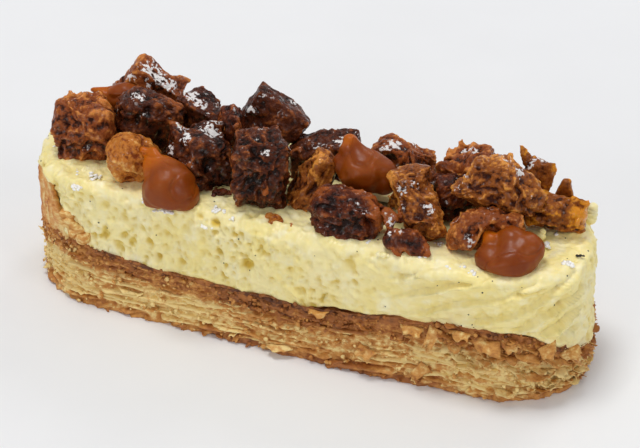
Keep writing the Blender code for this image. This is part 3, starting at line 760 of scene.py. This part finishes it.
def make_cream(material):
    """The block of cream. Gives its points, the way each faces and how much it is on top."""
    rows = cream_rows()
    walked, edge, out = outline(CREAM_COLUMNS)
    low = crust_height(edge[:, 0])
    grid = np.zeros((len(rows), CREAM_COLUMNS, 3))
    top = np.zeros((len(rows), CREAM_COLUMNS))
    for number, (inset, height, on_top) in enumerate(rows):
        z = low + (CREAM_TOP - low) * height
        below = smooth_step((PASTRY_TOP + LIP_HEIGHT + 0.8 * MM - z) / (1.5 * MM))
        room = LIP_THICKNESS * smooth_step(2.5 * lip_share(edge[:, 0], edge[:, 1])) * below
        grid[number, :, :2] = edge - out * (CREAM_INSET + inset + room)[:, None]
        grid[number, :, 2] = z
        top[number] = on_top
    normals = grid_normals(grid).reshape(-1, 3)
    points = grid.reshape(-1, 3)
    top = top.reshape(-1)
    walked = np.tile(walked, len(rows))
    inner = np.repeat([min(row[0] / (8 * MM), 1.0) for row in rows], CREAM_COLUMNS)
    x, _, z = points.T
    foamy = smooth_step((30 * MM - walked + 9 * MM * value_noise(points, 15 * MM, 60)) / (30 * MM))
    foamy = np.maximum(0.5 + 0.5 * foamy, 0.8 * smooth_step((walked - 62 * MM) / (8 * MM)))
    patchy = 0.8 + 0.5 * value_noise(points, 7 * MM, 56)
    pits = bubbles(points, foamy * patchy * (1 - 0.55 * top) * (1 - 0.6 * smooth_step(inner)))
    web = foamy * (ridged(wander(points, 3 * MM, 1.2 * MM, 53), 3.4 * MM, 57, 3) - 0.62) * (1 - 0.5 * top)
    swell = WAVE_FINE * fractal(wander(points, 2 * MM, MM, 52), 2.4 * MM, 62, 3)
    swell = WAVE_BROAD * fractal(points, 10 * MM, 61, 2) + swell
    foot = smooth_step((z - crust_height(x)) / (1.3 * MM))
    relief = swell * (0.4 + 0.6 * foot) + (FOAM_WEB * web - pits + smears(walked, points, top)) * foot
    shaggy = FOOT_BROAD * value_noise(points, 4.5 * MM, 64) + FOOT_FINE * value_noise(points, 1.6 * MM, 59)
    relief = relief + (1 - foot) * shaggy + 0.15
    moved = points + normals * (relief * MM)[:, None]
    hem = 1 - smooth_step((z - crust_height(x)) / (2.5 * MM))
    flat = points * np.array([1, 1, 0])
    ragged = HEM_BROAD * value_noise(flat, 7 * MM, 65) + HEM_FINE * value_noise(flat, 2.4 * MM, 58)
    moved[:, 2] += hem * MM * ragged
    piece = mesh_object("cream_block", moved, block_faces(len(rows), CREAM_COLUMNS), material)
    # Painted shade, stored for the colour: deepest in the bubble pits and the troughs of the waves.
    set_attribute(piece, "pit_shade", np.clip(pits * 0.9 - 0.3 * swell, 0, 1))
    dress(piece, "cream", "cream")
    return moved, normals, top


def lump(radius, squash, seed, rough=0.3, fine=1):
    """The points and triangles of a small uneven lump."""
    bm = bmesh.new()
    bmesh.ops.create_icosphere(bm, subdivisions=fine, radius=radius)
    points = np.array([v.co for v in bm.verts])
    faces = [[v.index for v in f.verts] for f in bm.faces]
    bm.free()
    uneven = 1 + rough * value_noise(points, radius, seed)
    return points * uneven[:, None] * np.array([1, 1, squash]), faces


def turned_to(normal, spin):
    """Axes whose third one is the normal, turned about it by spin."""
    helper = np.array([1.0, 0, 0]) if abs(normal[0]) < 0.8 else np.array([0, 1.0, 0])
    first = np.cross(helper, normal)
    first /= np.linalg.norm(first)
    second = np.cross(normal, first)
    c, s = math.cos(spin), math.sin(spin)
    return np.stack([c * first + s * second, c * second - s * first, normal])


def make_bits(looks):
    """The crumbs and curls that lie on the cream, each made of a few lumps."""
    for name, (look, finish, lumps) in BITS.items():
        heap = Heap()
        for number, (x, y, z, radius) in enumerate(lumps):
            shape, faces = lump(radius * MM, 0.8, number, 0.15 if look == "cream" else 0.5, 3)
            heap.add(shape + np.array([x, y, z]) * MM, faces, 0.45)
        dress(heap.build(name, looks[look], "bake_and_shade" if look == "flake" else "crest"), finish)


def make_specks(points, normals, top):
    """Vanilla seeds on the cream, and a little powdered sugar that fell beside the
    chunks."""
    rng = np.random.default_rng(SEED)
    seeds, sugar = Heap(), Heap()
    clear = np.flatnonzero(points[:, 2] > SPECKS_FROM)
    for number, k in enumerate(rng.choice(clear, VANILLA_SEEDS, replace=False)):
        shape, faces = lump(rng.uniform(0.12, 0.24) * MM, 0.6, number)
        seeds.add(shape @ turned_to(normals[k], number) + points[k], faces)
    rim = np.flatnonzero((top > 0.3) & (points[:, 2] > SUGAR_FROM))
    for number, k in enumerate(rng.choice(rim, SUGAR_SPOTS, replace=False)):
        for _ in range(rng.integers(2, 9)):
            shape, faces = lump(rng.uniform(0.15, 0.5) * MM, 0.35, number)
            side = turned_to(normals[k], number)
            away = rng.normal(0, 0.5 * MM, 2) @ side[:2]
            sugar.add(shape @ side + points[k] + away + normals[k] * 0.02 * MM, faces)
    for number, middle in enumerate(FALLEN):
        for _ in range(PATCH_GRAINS):
            shape, faces = lump(rng.uniform(0.3, 0.65) * MM, 0.5, number, 0.5)
            away = rng.normal(0, 0.45 * MM, 3) * (1.5, 1, 0.4) + np.array([0, 0, 0.2 * MM])
            sugar.add(shape + np.array(middle) * MM + away, faces)
    vanilla = plain_material("vanilla", srgb(38, 34, 30), srgb(20, 18, 18), 0.5, MM)
    dress(seeds.build("vanilla_seeds", vanilla), "cream")
    powder = plain_material("fallen_sugar", srgb(254, 253, 250), srgb(252, 249, 240), 0.7, MM)
    dress(sugar.build("fallen_sugar", powder), "cream")
    return vanilla


# Pastry


def shifted_along(flat, level):
    """The places, set apart by their level so that noise differs between levels."""
    return flat + np.array([0, 0, 9 * MM]) * np.reshape(level, (-1, 1))


def browning(level, flat, seed):
    """How baked the pastry is at a share of its height: a brown band under the cream, a
    pale middle and a brown foot."""
    uneven = 0.1 * fractal(flat, 14 * MM, seed, 3)
    ragged = 0.07 * fractal(shifted_along(flat, level), 2.4 * MM, seed + 2, 2)
    band = smooth_step((level - BAND_FROM + uneven + ragged) / 0.16)
    seam = smooth_step((level - SEAM_FROM + 0.4 * ragged) / 0.06)
    foot = smooth_step((FOOT_TO - uneven - level) / 0.16)
    bulge = np.exp(-(((flat[:, 0] - BULGE_MIDDLE) / BULGE_RUN) ** 2))
    left = smooth_step((-40 * MM - flat[:, 0]) / (14 * MM))
    patches = np.clip(fractal(shifted_along(flat, level), 7 * MM, seed + 1, 3) * 1.5, -0.1, 0.6)
    baked = np.maximum(band * BAND_BAKE, foot * FOOT_BAKE) + SEAM_BAKE * seam
    return baked + BULGE_BAKE * bulge - 0.12 * left + PATCH_BAKE * patches + 0.07


def make_core(pastry):
    """The crumbly wall that shows between the sheets, and the top under the cream."""
    _, edge, out = outline(CORE_COLUMNS)
    insets = [17.5, 12, 8, 5, 3.4, 2.4, 1.6, 1.0, 0.5]
    rows = [(inset * MM, 1.0) for inset in insets] + [(0.0, w) for w in np.linspace(1, 0, 58)]
    rows += [(inset * MM, 0.0) for inset in (1, 3, 9, 17.5)]
    inset = np.repeat([r[0] for r in rows], CORE_COLUMNS)
    level = np.repeat([r[1] for r in rows], CORE_COLUMNS)
    at = np.zeros((len(rows) * CORE_COLUMNS, 3))
    at[:, :2] = np.tile(edge, (len(rows), 1))
    at[:, 2] = level * crust_height(at[:, 0])
    flat = at * np.array([1, 1, 0])
    side = (inset == 0).astype(float)
    outer = np.maximum(smooth_step((level - 0.7) / 0.12), smooth_step((0.1 - level) / 0.08))
    rough = fractal(wander(at, 2 * MM, 0.6 * MM, 30), 1.9 * MM, 31, 3)
    rough = rough - 0.9 * (ridged(at * np.array([1, 1, 1.8]), 2.2 * MM, 36, 3) - 0.62)
    near, mark = cell_distances(at / np.array([1.7, 1.7, 0.8]), 1.6 * MM, 32)
    holes = smooth_step(1 - near / 0.6) * (mark < 0.5)
    recess = (1.5 - 0.7 * outer) + 1.1 * rough + holes * (0.7 + 0.5 * outer)
    recess = recess * side + 0.7 * (1 - side)
    points = at.copy()
    spread = pastry_spread(at[:, 0], at[:, 2])
    points[:, :2] -= np.tile(out, (len(rows), 1)) * (inset + recess * MM - spread)[:, None]
    raised = (1 - side) * (level > 0.5) * (0.35 * fractal(points, 2 * MM, 33, 3) - 0.35)
    points[:, 2] += raised * MM
    points[:, 2] = np.maximum(points[:, 2], 0.02 * MM)
    # Painted shade: the deeper the wall lies, the browner it is painted.
    bake_and_shade = browning(level, flat, 34) + 0.25 * np.clip(recess - 1.2, 0, 1) + 0.1
    piece = mesh_object("pastry_core", points, block_faces(len(rows), CORE_COLUMNS), pastry)
    set_attribute(piece, "bake_and_shade", bake_and_shade)
    dress(piece, "pastry", "pastry_base")


def make_sheets(pastry):
    """Thin wavy sheets that stand out of the core, one above the other, torn at their
    edges, thin in the pale middle and thick in the crumbly band under the cream."""
    rng = np.random.default_rng(SEED + 3)
    _, edge, out = outline(LAYER_COLUMNS)
    section = [(SHEET_ROOT, 1), (1.3, 1), (0.5, 0.9), (0.0, 0.45)]
    section += [(depth, -side) for depth, side in section[::-1]]
    inset = np.repeat([s[0] * MM for s in section], LAYER_COLUMNS)
    side = np.repeat([s[1] for s in section], LAYER_COLUMNS)
    flat = np.zeros((len(section) * LAYER_COLUMNS, 3))
    flat[:, :2] = np.tile(edge, (len(section), 1))
    tall = crust_height(flat[:, 0])
    heap = Heap()
    for number in range(LAYERS):
        keyed = flat + np.array([0, 0, 31 * MM * number])
        level = (number + 0.5 + rng.uniform(-0.25, 0.25)) / LAYERS
        level = level + 0.045 * value_noise(keyed, 12 * MM, 40) + 0.035 * value_noise(keyed, 4 * MM, 41)
        level = level + 0.05 * value_noise(flat, 24 * MM, 42)
        level = np.clip(level, 0.035, 0.985)
        band = smooth_step((level - 0.7) / 0.1)
        ragged = 0.6 + 1.0 * fractal(keyed, 5 * MM, 43, 3) + 0.4 * fractal(keyed, 1.2 * MM, 44, 2)
        missing = smooth_step((value_noise(keyed, 7 * MM, 45) + 0.05) / 0.3)
        recess = np.clip(ragged, 0.0, 1.6) + 1.5 * missing * (1 - 0.6 * band)
        recess = recess + rng.uniform(-0.1, 0.35)
        thick = SHEET * (1 + 0.4 * value_noise(keyed, 5 * MM, 46) + 0.9 * band + 0.8 * (level < 0.1))
        edge_share = 1 - inset / (SHEET_ROOT * MM)
        droop = edge_share**2 * (0.7 * value_noise(keyed, 5 * MM, 47) - 0.1) * MM
        z = level * tall + side * thick * (1 - 0.35 * edge_share) + droop
        z = z + 0.12 * MM * fractal(keyed + inset[:, None], 1.2 * MM, 48, 2)
        z = np.clip(z, 0.05 * MM, tall + 0.1 * MM)
        points = np.stack([flat[:, 0], flat[:, 1], z], -1)
        move = inset + recess * MM - pastry_spread(flat[:, 0], z)
        points[:, :2] -= np.tile(out, (len(section), 1)) * move[:, None]
        bake_and_shade = browning(level, keyed, 49) + 0.3 * edge_share * (0.75 - recess)
        heap.add(points, ring_faces(len(section), LAYER_COLUMNS, True), bake_and_shade)
    piece = heap.build("pastry_sheets", pastry, "bake_and_shade")
    dress(piece, "pastry")


def flake_shape(rng, width, length, thickness, curl):
    """Points and faces of a thin torn flake: its root along x, its free end along y."""
    across, deep = FLAKE_COLUMNS, FLAKE_ROWS
    u, v = np.meshgrid(np.linspace(-0.5, 0.5, across), np.linspace(0, 1, deep), indexing="ij")
    bend = np.sin(np.linspace(0, rng.uniform(3, 8), across) + rng.uniform(0, 6))
    torn = (0.85 + 0.16 * bend + rng.normal(0, 0.035, across))[:, None]
    pinch = rng.uniform(0.85, 1.05, deep)[None, :]
    x = u * width * pinch * (1 - 0.3 * v) + 0.15 * width * rng.normal() * v
    y = v * length * torn
    z = curl * v**2 * length + 0.06 * width * np.sin(4 * u + rng.uniform(0, 6)) * v
    z = z + 0.04 * width * np.cos(7 * u + 5 * v + rng.uniform(0, 6))
    half = thickness / 2 * (1 - 0.6 * v)
    points = np.concatenate([np.stack([x, y, z + s * half], -1).reshape(-1, 3) for s in (1, -1)])
    return points, sheet_faces(across, deep)


def hang(shape, walked, z, tilt, roll, root_inset):
    """The flake's points, rooted in the pastry's side there. A tilt of 0 stands straight
    out, and a negative one droops."""
    edge, out = stadium([walked])
    edge, away = edge[0], np.array([*out[0], 0.0])
    spread = float(pastry_spread(edge[0], z))
    along = np.array([-away[1], away[0], 0.0])
    up = np.array([0.0, 0.0, 1.0])
    dy = away * math.cos(tilt) + up * math.sin(tilt)
    dz = up * math.cos(tilt) - away * math.sin(tilt)
    dx = along * math.cos(roll) + dz * math.sin(roll)
    if abs(tilt) > 0.8:
        dx = along * math.cos(roll) + dy * math.sin(roll)
        dy = dy * math.cos(roll) - along * math.sin(roll)
    root = np.array([edge[0], edge[1], z]) + away * (spread - root_inset)
    placed = root + shape @ np.stack([dx, dy, dz])
    placed[:, 2] += max(0.1 * MM - placed[:, 2].min(), 0)
    return placed


def make_flakes(flaky):
    """Torn flakes all round the pastry's side, and the large ones that hang in front."""
    rng = np.random.default_rng(SEED + 1)
    heap = Heap()
    for number in range(FLAKES):
        crowd = rng.uniform() < CROWD_SHARE
        walked = rng.uniform(*CROWDED) * MM if crowd else rng.uniform(-0.5, 0.5) * PERIMETER
        level = rng.uniform(0.75, 1.0) if rng.uniform() < 0.35 else rng.uniform(0.03, 0.85)
        z = level * float(crust_height(stadium([walked])[0][0, 0]))
        large = rng.uniform() < (0.45 if crowd else 0.08)
        width = rng.uniform(3, 6) if large else rng.uniform(0.9, 2.4)
        length = rng.uniform(1.6, 2.6) if large else rng.uniform(0.8, 1.7)
        shape, faces = flake_shape(rng, width * MM, length * MM, FLAKE_THICKNESS, rng.uniform(-0.35, 0.15))
        tilt = rng.uniform(-0.7, 0.3)
        roll = rng.normal(-0.25 if crowd else 0, 0.16)
        placed = hang(shape, walked, z, tilt, roll, rng.uniform(0.9, 1.7) * MM)
        tone = browning(np.array([level]), np.array([[walked, number * MM, 0]]), 50)[0]
        heap.add(placed, faces, tone + rng.uniform(-0.1, 0.3))
    for walked, z, width, length, droop, roll in LEAVES:
        shape, faces = flake_shape(rng, width * MM, length * MM, LEAF_THICKNESS, 0.1)
        rim = float(crust_height(stadium([walked * MM])[0][0, 0])) / MM
        z = min(z, rim - 0.3)
        placed = hang(shape, walked * MM, z * MM, math.radians(droop), math.radians(roll), 0.35 * MM)
        tone = 0.55 if z > 4 else 0.2
        heap.add(placed, faces, tone + rng.uniform(-0.08, 0.08))
    piece = heap.build("pastry_flakes", flaky, "bake_and_shade")
    dress(piece, "pastry")


def make_pastry_crumbs(flaky):
    """Small crumbs that cling to the pastry's side, most of them in its brown band."""
    rng = np.random.default_rng(SEED + 2)
    heap = Heap()
    for number in range(CRUMBS):
        walked = rng.uniform(-0.5, 0.5) * PERIMETER
        level = rng.uniform(0.72, 1.0) if rng.uniform() < 0.6 else rng.uniform(0.02, 0.8)
        (edge,), (out,) = stadium([walked])
        z = level * float(crust_height(edge[0]))
        size = rng.uniform(0.18, 0.42) + 0.4 * rng.uniform() ** 4
        shape, faces = lump(size * MM, rng.uniform(0.4, 0.9), number, 0.6)
        away = float(pastry_spread(edge[0], z)) - rng.uniform(0.1, 1.0) * MM
        middle = np.array([*(edge + out * away), max(z, 0.4 * MM)])
        tone = browning(np.array([level]), np.array([[*edge, 0.0]]), 34)[0]
        placed = shape @ turned_to(np.array([*out, 0.0]), number) + middle
        placed[:, 2] = np.maximum(placed[:, 2], 0.05 * MM)
        heap.add(placed, faces, tone + rng.uniform(-0.25, 0.3))
    piece = heap.build("pastry_crumbs", flaky, "bake_and_shade")
    dress(piece, "pastry")


def make_lip():
    """The strip of pastry that stands up against the cream at the left end, in upright
    folds that are orange in the middle and pale at its edges."""
    across, tall = STRIP_COLUMNS, STRIP_ROWS
    turns = np.linspace(-1, 1, across) * LIP_HALF_ANGLE + LIP_MIDDLE
    foot = float(crust_height(-LENGTH / 2)) - 1.5 * MM
    out = np.stack([np.cos(turns), np.sin(turns)], -1)
    flat = np.concatenate([out * RADIUS - np.array([HALF_RUN, 0]), np.zeros((across, 1))], -1)
    share = lip_share(flat[:, 0], flat[:, 1])
    torn = 1 + 0.12 * value_noise(flat, 4 * MM, 70) + 0.08 * value_noise(flat, 1.3 * MM, 71)
    top = LIP_HEIGHT * share * torn + 1.3 * MM
    points, bake_and_shade = [], []
    for inner in (0.0, 1.0):
        for row in np.linspace(0, 1, tall):
            at = flat + np.array([0, 0, 1]) * (row * top)[:, None]
            folds = ridged(wander(at, 4 * MM, MM, 75) * np.array([1, 1, 0.22]), 1.8 * MM, 72, 2)
            proud = 0.25 - 0.95 * folds + 0.3 * fractal(at, 2.2 * MM, 74, 3)
            inset = inner * (1.9 - 0.9 * row) * MM + (proud + 0.9 + 0.35 * row**3) * MM
            points.append(np.stack([*(flat[:, :2] - out * inset[:, None]).T, foot + row * top], -1))
            tone = 0.75 * np.clip(folds, 0, 1) * smooth_step(share * 1.4)
            bake_and_shade.append(0.12 + tone + 0.1 * value_noise(at, 3 * MM, 73))
    count = tall * across
    faces = []
    for i in range(tall - 1):
        for j in range(across - 1):
            a, b = i * across + j, (i + 1) * across + j
            faces.append((a, a + 1, b + 1, b))
            faces.append((count + b, count + b + 1, count + a + 1, count + a))
    rim = list(range(across)) + [i * across + across - 1 for i in range(1, tall)]
    rim += [(tall - 1) * across + j for j in range(across - 2, -1, -1)]
    rim += [i * across for i in range(tall - 2, 0, -1)]
    faces += [(b, a, count + a, count + b) for a, b in zip(rim, rim[1:] + rim[:1])]
    material = pastry_material("crust_strip", srgb(236, 206, 140), srgb(216, 150, 78), srgb(176, 100, 42))
    piece = mesh_object("pastry_strip", np.concatenate(points), faces, material)
    set_attribute(piece, "bake_and_shade", np.concatenate(bake_and_shade))
    dress(piece, "pastry")


# Toppings


def mesh_arrays(mesh):
    """A mesh's points and its faces."""
    points = np.zeros(len(mesh.vertices) * 3)
    mesh.vertices.foreach_get("co", points)
    return points.reshape(-1, 3), [list(polygon.vertices) for polygon in mesh.polygons]


def normals_of(mesh):
    """The way each of a mesh's points faces."""
    normals = np.zeros(len(mesh.vertices) * 3)
    mesh.vertex_normals.foreach_get("vector", normals)
    return normals.reshape(-1, 3)


def fused(name, shapes, voxel, smoothing):
    """One fine, even mesh round overlapping closed shapes, with its points and normals."""
    mesh = bpy.data.meshes.new(name)
    points, faces, count = [], [], 0
    for shape, shape_faces in shapes:
        points.append(shape)
        faces += [[v + count for v in face] for face in shape_faces]
        count += len(shape)
    mesh.from_pydata(np.concatenate(points).tolist(), [], faces)
    obj = add_object(name, mesh)
    remesh = obj.modifiers.new("fine", "REMESH")
    remesh.mode = "VOXEL"
    remesh.voxel_size = voxel
    soften = obj.modifiers.new("soften", "SMOOTH")
    soften.factor = 0.5
    soften.iterations = smoothing
    graph = bpy.context.evaluated_depsgraph_get()
    obj.data = bpy.data.meshes.new_from_object(obj.evaluated_get(graph))
    obj.modifiers.clear()
    obj.data.name = name
    obj.data.shade_smooth()
    return obj, mesh_arrays(obj.data)[0], normals_of(obj.data)


def set_points(obj, points):
    """Moves an object's points there."""
    obj.data.vertices.foreach_set("co", points.astype(np.float32).ravel())
    obj.data.update()


def standing_out(mesh, points, normals, rounds):
    """How far each point stands out of its surroundings, in metres."""
    ends = np.zeros(2 * len(mesh.edges), np.int64)
    mesh.edges.foreach_get("vertices", ends)
    a, b = ends.reshape(-1, 2).T
    count = len(points)
    degree = np.maximum(np.bincount(a, minlength=count) + np.bincount(b, minlength=count), 1)
    soft = points.copy()
    for _ in range(rounds):
        total = [
            np.bincount(a, soft[b, axis], count) + np.bincount(b, soft[a, axis], count)
            for axis in range(3)
        ]
        soft = np.stack(total, -1) / degree[:, None]
    return ((points - soft) * normals).sum(-1)


def blade(base, tip, width, seed):
    """A thin pointed blade of pastry from base to tip."""
    rise = tip - base
    length = np.linalg.norm(rise)
    rise = rise / length
    side = np.cross(rise, np.array([0.35, -0.9, 0.25]))
    side /= np.linalg.norm(side)
    face = np.cross(side, rise)
    turns = np.linspace(0, 2 * math.pi, BLADE_SIDES, endpoint=False)
    rings = []
    for share in np.linspace(0, 1, BLADE_RINGS):
        broad = width / 2 * (1 - 0.72 * share**2)
        bend = 0.12 * length * math.sin(share * 3 + seed)
        middle = base + rise * length * share + face * bend * share
        thin = 0.42 * MM * (1 - 0.3 * share)
        rings.append(middle + np.outer(np.cos(turns) * broad, side) + np.outer(np.sin(turns) * thin, face))
    faces = ring_faces(BLADE_RINGS, BLADE_SIDES).tolist()
    last = BLADE_RINGS * BLADE_SIDES - 1
    faces.append(list(range(BLADE_SIDES)))
    faces.append(list(range(last, last - BLADE_SIDES, -1)))
    return np.concatenate(rings), faces


# Each look of the chunks: its colour in the hollows (painted shade), between, and where it stands out (partly
# painted light), then its least roughness.
CHUNK_LOOKS = {
    "dark": (srgb(26, 8, 3), srgb(84, 36, 15), srgb(158, 86, 38), 0.16),
    "toffee": (srgb(64, 22, 5), srgb(148, 80, 28), srgb(226, 150, 66), 0.14),
    "russet": (srgb(54, 18, 6), srgb(144, 72, 30), srgb(216, 138, 68), 0.16),
    "ruby": (srgb(32, 8, 3), srgb(92, 38, 16), srgb(160, 84, 34), 0.1),
    "golden": (srgb(128, 56, 12), srgb(196, 118, 44), srgb(234, 178, 98), 0.18),
    "amber": (srgb(62, 24, 6), srgb(146, 78, 24), srgb(226, 148, 40), 0.1),
}
LOOK_OF_SLOT = {"dark": "dark", "baked": "russet", "golden": "golden", "amber": "amber"}


def make_chunk(node, traits, finish, material, seed):
    """A chunk's solid, with its ears, worn into folds, hollows and crags."""
    rng = np.random.default_rng(seed)
    solid, solid_faces = mesh_arrays(frame["nodes"][node].data)
    middle = (solid.min(0) + solid.max(0)) / 2
    _, _, axes = np.linalg.svd(solid - solid.mean(0), full_matrices=False)
    ears = traits.get("ears", ())
    full = middle + (solid - middle) * traits.get("full", FULLNESS)
    if "rounds" in traits:
        round_one, full, _ = fused(f"{node}_round", [(full, solid_faces)], ROUND_VOXEL, traits["rounds"])
        solid_faces = mesh_arrays(round_one.data)[1]
        bpy.data.objects.remove(round_one)
    shapes = [(full, solid_faces)]
    for number, (tip, width) in enumerate(ears):
        tip = np.array(tip) * MM
        base = middle + (tip - middle) * 0.45
        shapes.append(blade(base, tip, width * MM, number + seed))
    obj, points, normals = fused(f"{node}_crust", shapes, CHUNK_VOXEL, 1)
    keep = traits.get("craggy", 1.0)
    own = (points - middle) @ axes.T
    bent = wander(own, 3.4 * MM, 1.1 * MM, seed + 40)
    along = bent / np.array([rng.uniform(1.5, 2.6), 1.0, 1.0])
    folds = ridged(along, 3.2 * MM, seed + 1, 3)
    lumps = value_noise(bent, 4.6 * MM, seed + 5)
    fine = fractal(wander(own, 1.2 * MM, 0.4 * MM, seed + 21), 0.95 * MM, seed + 3, 3)
    relief = 0.15 + LUMP_RELIEF * lumps + FOLD_RELIEF * (folds - 0.6) + CRUMB_RELIEF * fine
    for size, chance, deep in HOLLOWS:
        near, mark = cell_distances(bent, size * MM, seed + 2)
        relief = relief - deep * smooth_step(1.1 - 1.1 * near / 0.6) * (mark < chance)
    warped = wander(points, 5.5 * MM, 1.7 * MM * keep, seed + 9)
    moved = warped + normals * (relief * keep * MM)[:, None]
    moved[:, 2] = np.maximum(moved[:, 2], CREAM_TOP - CHUNK_SINK)
    moved[:, 2] -= 0.75 * np.maximum(moved[:, 2] - HIGHEST, 0)
    set_points(obj, moved)
    normals = normals_of(obj.data)
    proud = standing_out(obj.data, moved, normals, 10)
    obj.data.materials.append(material)
    # Painted shade and light: low in the hollows and high where the surface stands out; near the ear tips it
    # rises for the thin pastry's own amber.
    crest = 0.4 + 0.3 * proud / (0.3 * MM) + 0.25 * fractal(points, 5 * MM, seed + 6, 2)
    for tip, width in ears:
        away = np.linalg.norm(moved - np.array(tip) * MM, axis=-1)
        crest = crest + 0.45 * smooth_step((width * 1.1 * MM - away) / (3 * MM))
    sugar = np.zeros(len(points))
    for centre, radius in DUSTINGS:
        away = np.linalg.norm(moved - np.array(centre) * MM, axis=-1) / (radius * MM)
        sugar = np.maximum(sugar, smooth_step(1.2 - away))
    sugar = np.maximum(sugar, 0.36 * smooth_step(value_noise(points, 4 * MM, seed + 7) * 2.5 - 1.2))
    sugar = sugar * smooth_step((normals[:, 2] + 0.25) / 0.7)
    set_attribute(obj, "crest", crest)
    set_attribute(obj, "sugar", sugar)
    dress(obj, finish, node)


def make_drop(node, material, seed):
    """A drop of caramel: its solid and its lumps, melted into one soft shape."""
    reach, lumps = DROPS[node]
    shapes = [mesh_arrays(frame["nodes"][node].data)]
    for number, (middle, radius) in enumerate(lumps):
        ball, faces = lump(radius * MM, 1.0, number, 0.0, 3)
        shapes.append((ball + np.array(middle) * MM, faces))
    obj, points, normals = fused(f"{node}_drop", shapes, DROP_VOXEL, 7)
    swell = value_noise(points, 4.2 * MM, seed) + 0.35 * value_noise(points, 1.8 * MM, seed + 1)
    bent = wander(points, 5 * MM, 0.9 * MM, seed + 3)
    crease = smooth_step(ridged(bent, 7 * MM, seed + 4, 1) * 9 - 7.9)
    moved = points + normals * (0.42 * MM * swell + 0.1 * MM - 0.3 * MM * crease)[:, None]
    moved[:, 2] = np.maximum(moved[:, 2], CREAM_TOP - DROP_SINK)
    set_points(obj, moved)
    obj.data.materials.append(material)
    tip = np.array(lumps[0][0]) * MM
    away = np.linalg.norm(moved - tip, axis=-1)
    set_attribute(obj, "thin", smooth_step(1.1 - away / reach))
    dress(obj, "caramel", node)


def make_toppings(materials):
    """Every chunk and every drop of caramel."""
    finishes = {s["node"]: s["material_slot"] for s in frame["record"]["subparts"]}
    caramel = caramel_material()
    for number, node in enumerate(sorted(frame["nodes"])):
        if node.startswith("chunk_"):
            finish = finishes[node]
            traits = CHUNKS[node.removeprefix("chunk_")]
            look = traits.get("look", LOOK_OF_SLOT[finish])
            make_chunk(node, traits, finish, materials[look], 100 + 10 * number)
        elif node.startswith("caramel_"):
            make_drop(node, caramel, 500 + number)


# Stage


def aim_object(name, data, place, direction):
    """A new object that looks from its place in that direction."""
    obj = add_object(name, data)
    obj.location = place
    obj.rotation_mode = "QUATERNION"
    obj.rotation_quaternion = direction.to_track_quat("-Z", "Y")
    return obj


def make_camera():
    """The photo's view."""
    data = bpy.data.cameras.new("camera")
    data.lens = LENS
    data.sensor_width = SENSOR
    data.clip_start = 0.01
    data.clip_end = 20
    back = Vector((
        math.sin(AZIMUTH) * math.cos(ELEVATION),
        -math.cos(AZIMUTH) * math.cos(ELEVATION),
        math.sin(ELEVATION),
    ))
    bpy.context.scene.camera = aim_object("camera", data, TARGET + back * DISTANCE, -back)


def soft_light(name, place, size, power, colour):
    """A square light that is aimed at the slice."""
    data = bpy.data.lights.new(name, "AREA")
    data.shape = "SQUARE"
    data.size = size
    data.energy = power
    data.color = colour
    aim_object(name, data, place, LIT_POINT - Vector(place))


def make_stage():
    """The white studio: what surrounds the slice, the floor under it and the lights."""
    world = bpy.data.worlds.new("studio")
    world.use_nodes = True
    background = world.node_tree.nodes["Background"]
    background.inputs["Color"].default_value = (0.98, 0.985, 1.0, 1)
    background.inputs["Strength"].default_value = 0.44
    bpy.context.scene.world = world
    bpy.context.scene.view_settings.view_transform = "Standard"
    bm = bmesh.new()
    bmesh.ops.create_grid(bm, x_segments=2, y_segments=2, size=3)
    mesh = bpy.data.meshes.new("floor")
    bm.to_mesh(mesh)
    bm.free()
    floor = add_object("floor", mesh)
    floor.data.materials.append(
        plain_material("floor", srgb(236, 237, 239), srgb(238, 239, 241), 0.7, 60 * MM)
    )
    soft_light("key", (-0.25, 0.0, 1.36), 0.42, 7.6, (1.0, 0.99, 0.975))
    soft_light("back", (0.2, 1.0, 0.9), 0.4, 2.2, (1.0, 1.0, 1.0))
    soft_light("front", (-0.3, -1.3, 0.62), 0.5, 2.9, (1.0, 0.99, 0.98))
    soft_light("right", (1.15, -0.35, 0.8), 0.5, 2.6, (1.0, 1.0, 1.0))


make_camera()
make_stage()
cream_look = cream_material()
vanilla_look = make_specks(*make_cream(cream_look))
pastry_look = pastry_material("pastry", srgb(243, 216, 146), srgb(208, 146, 72), srgb(166, 100, 44))
flake_look = pastry_material("flake", srgb(242, 214, 144), srgb(208, 146, 70), srgb(168, 102, 44))
make_core(pastry_look)
make_sheets(pastry_look)
make_flakes(flake_look)
make_pastry_crumbs(flake_look)
make_lip()
chunk_looks = {name: chunk_material(f"{name}_crust", *look) for name, look in CHUNK_LOOKS.items()}
make_toppings(chunk_looks)
make_bits({**chunk_looks, "cream": cream_look, "vanilla": vanilla_look, "flake": flake_look})
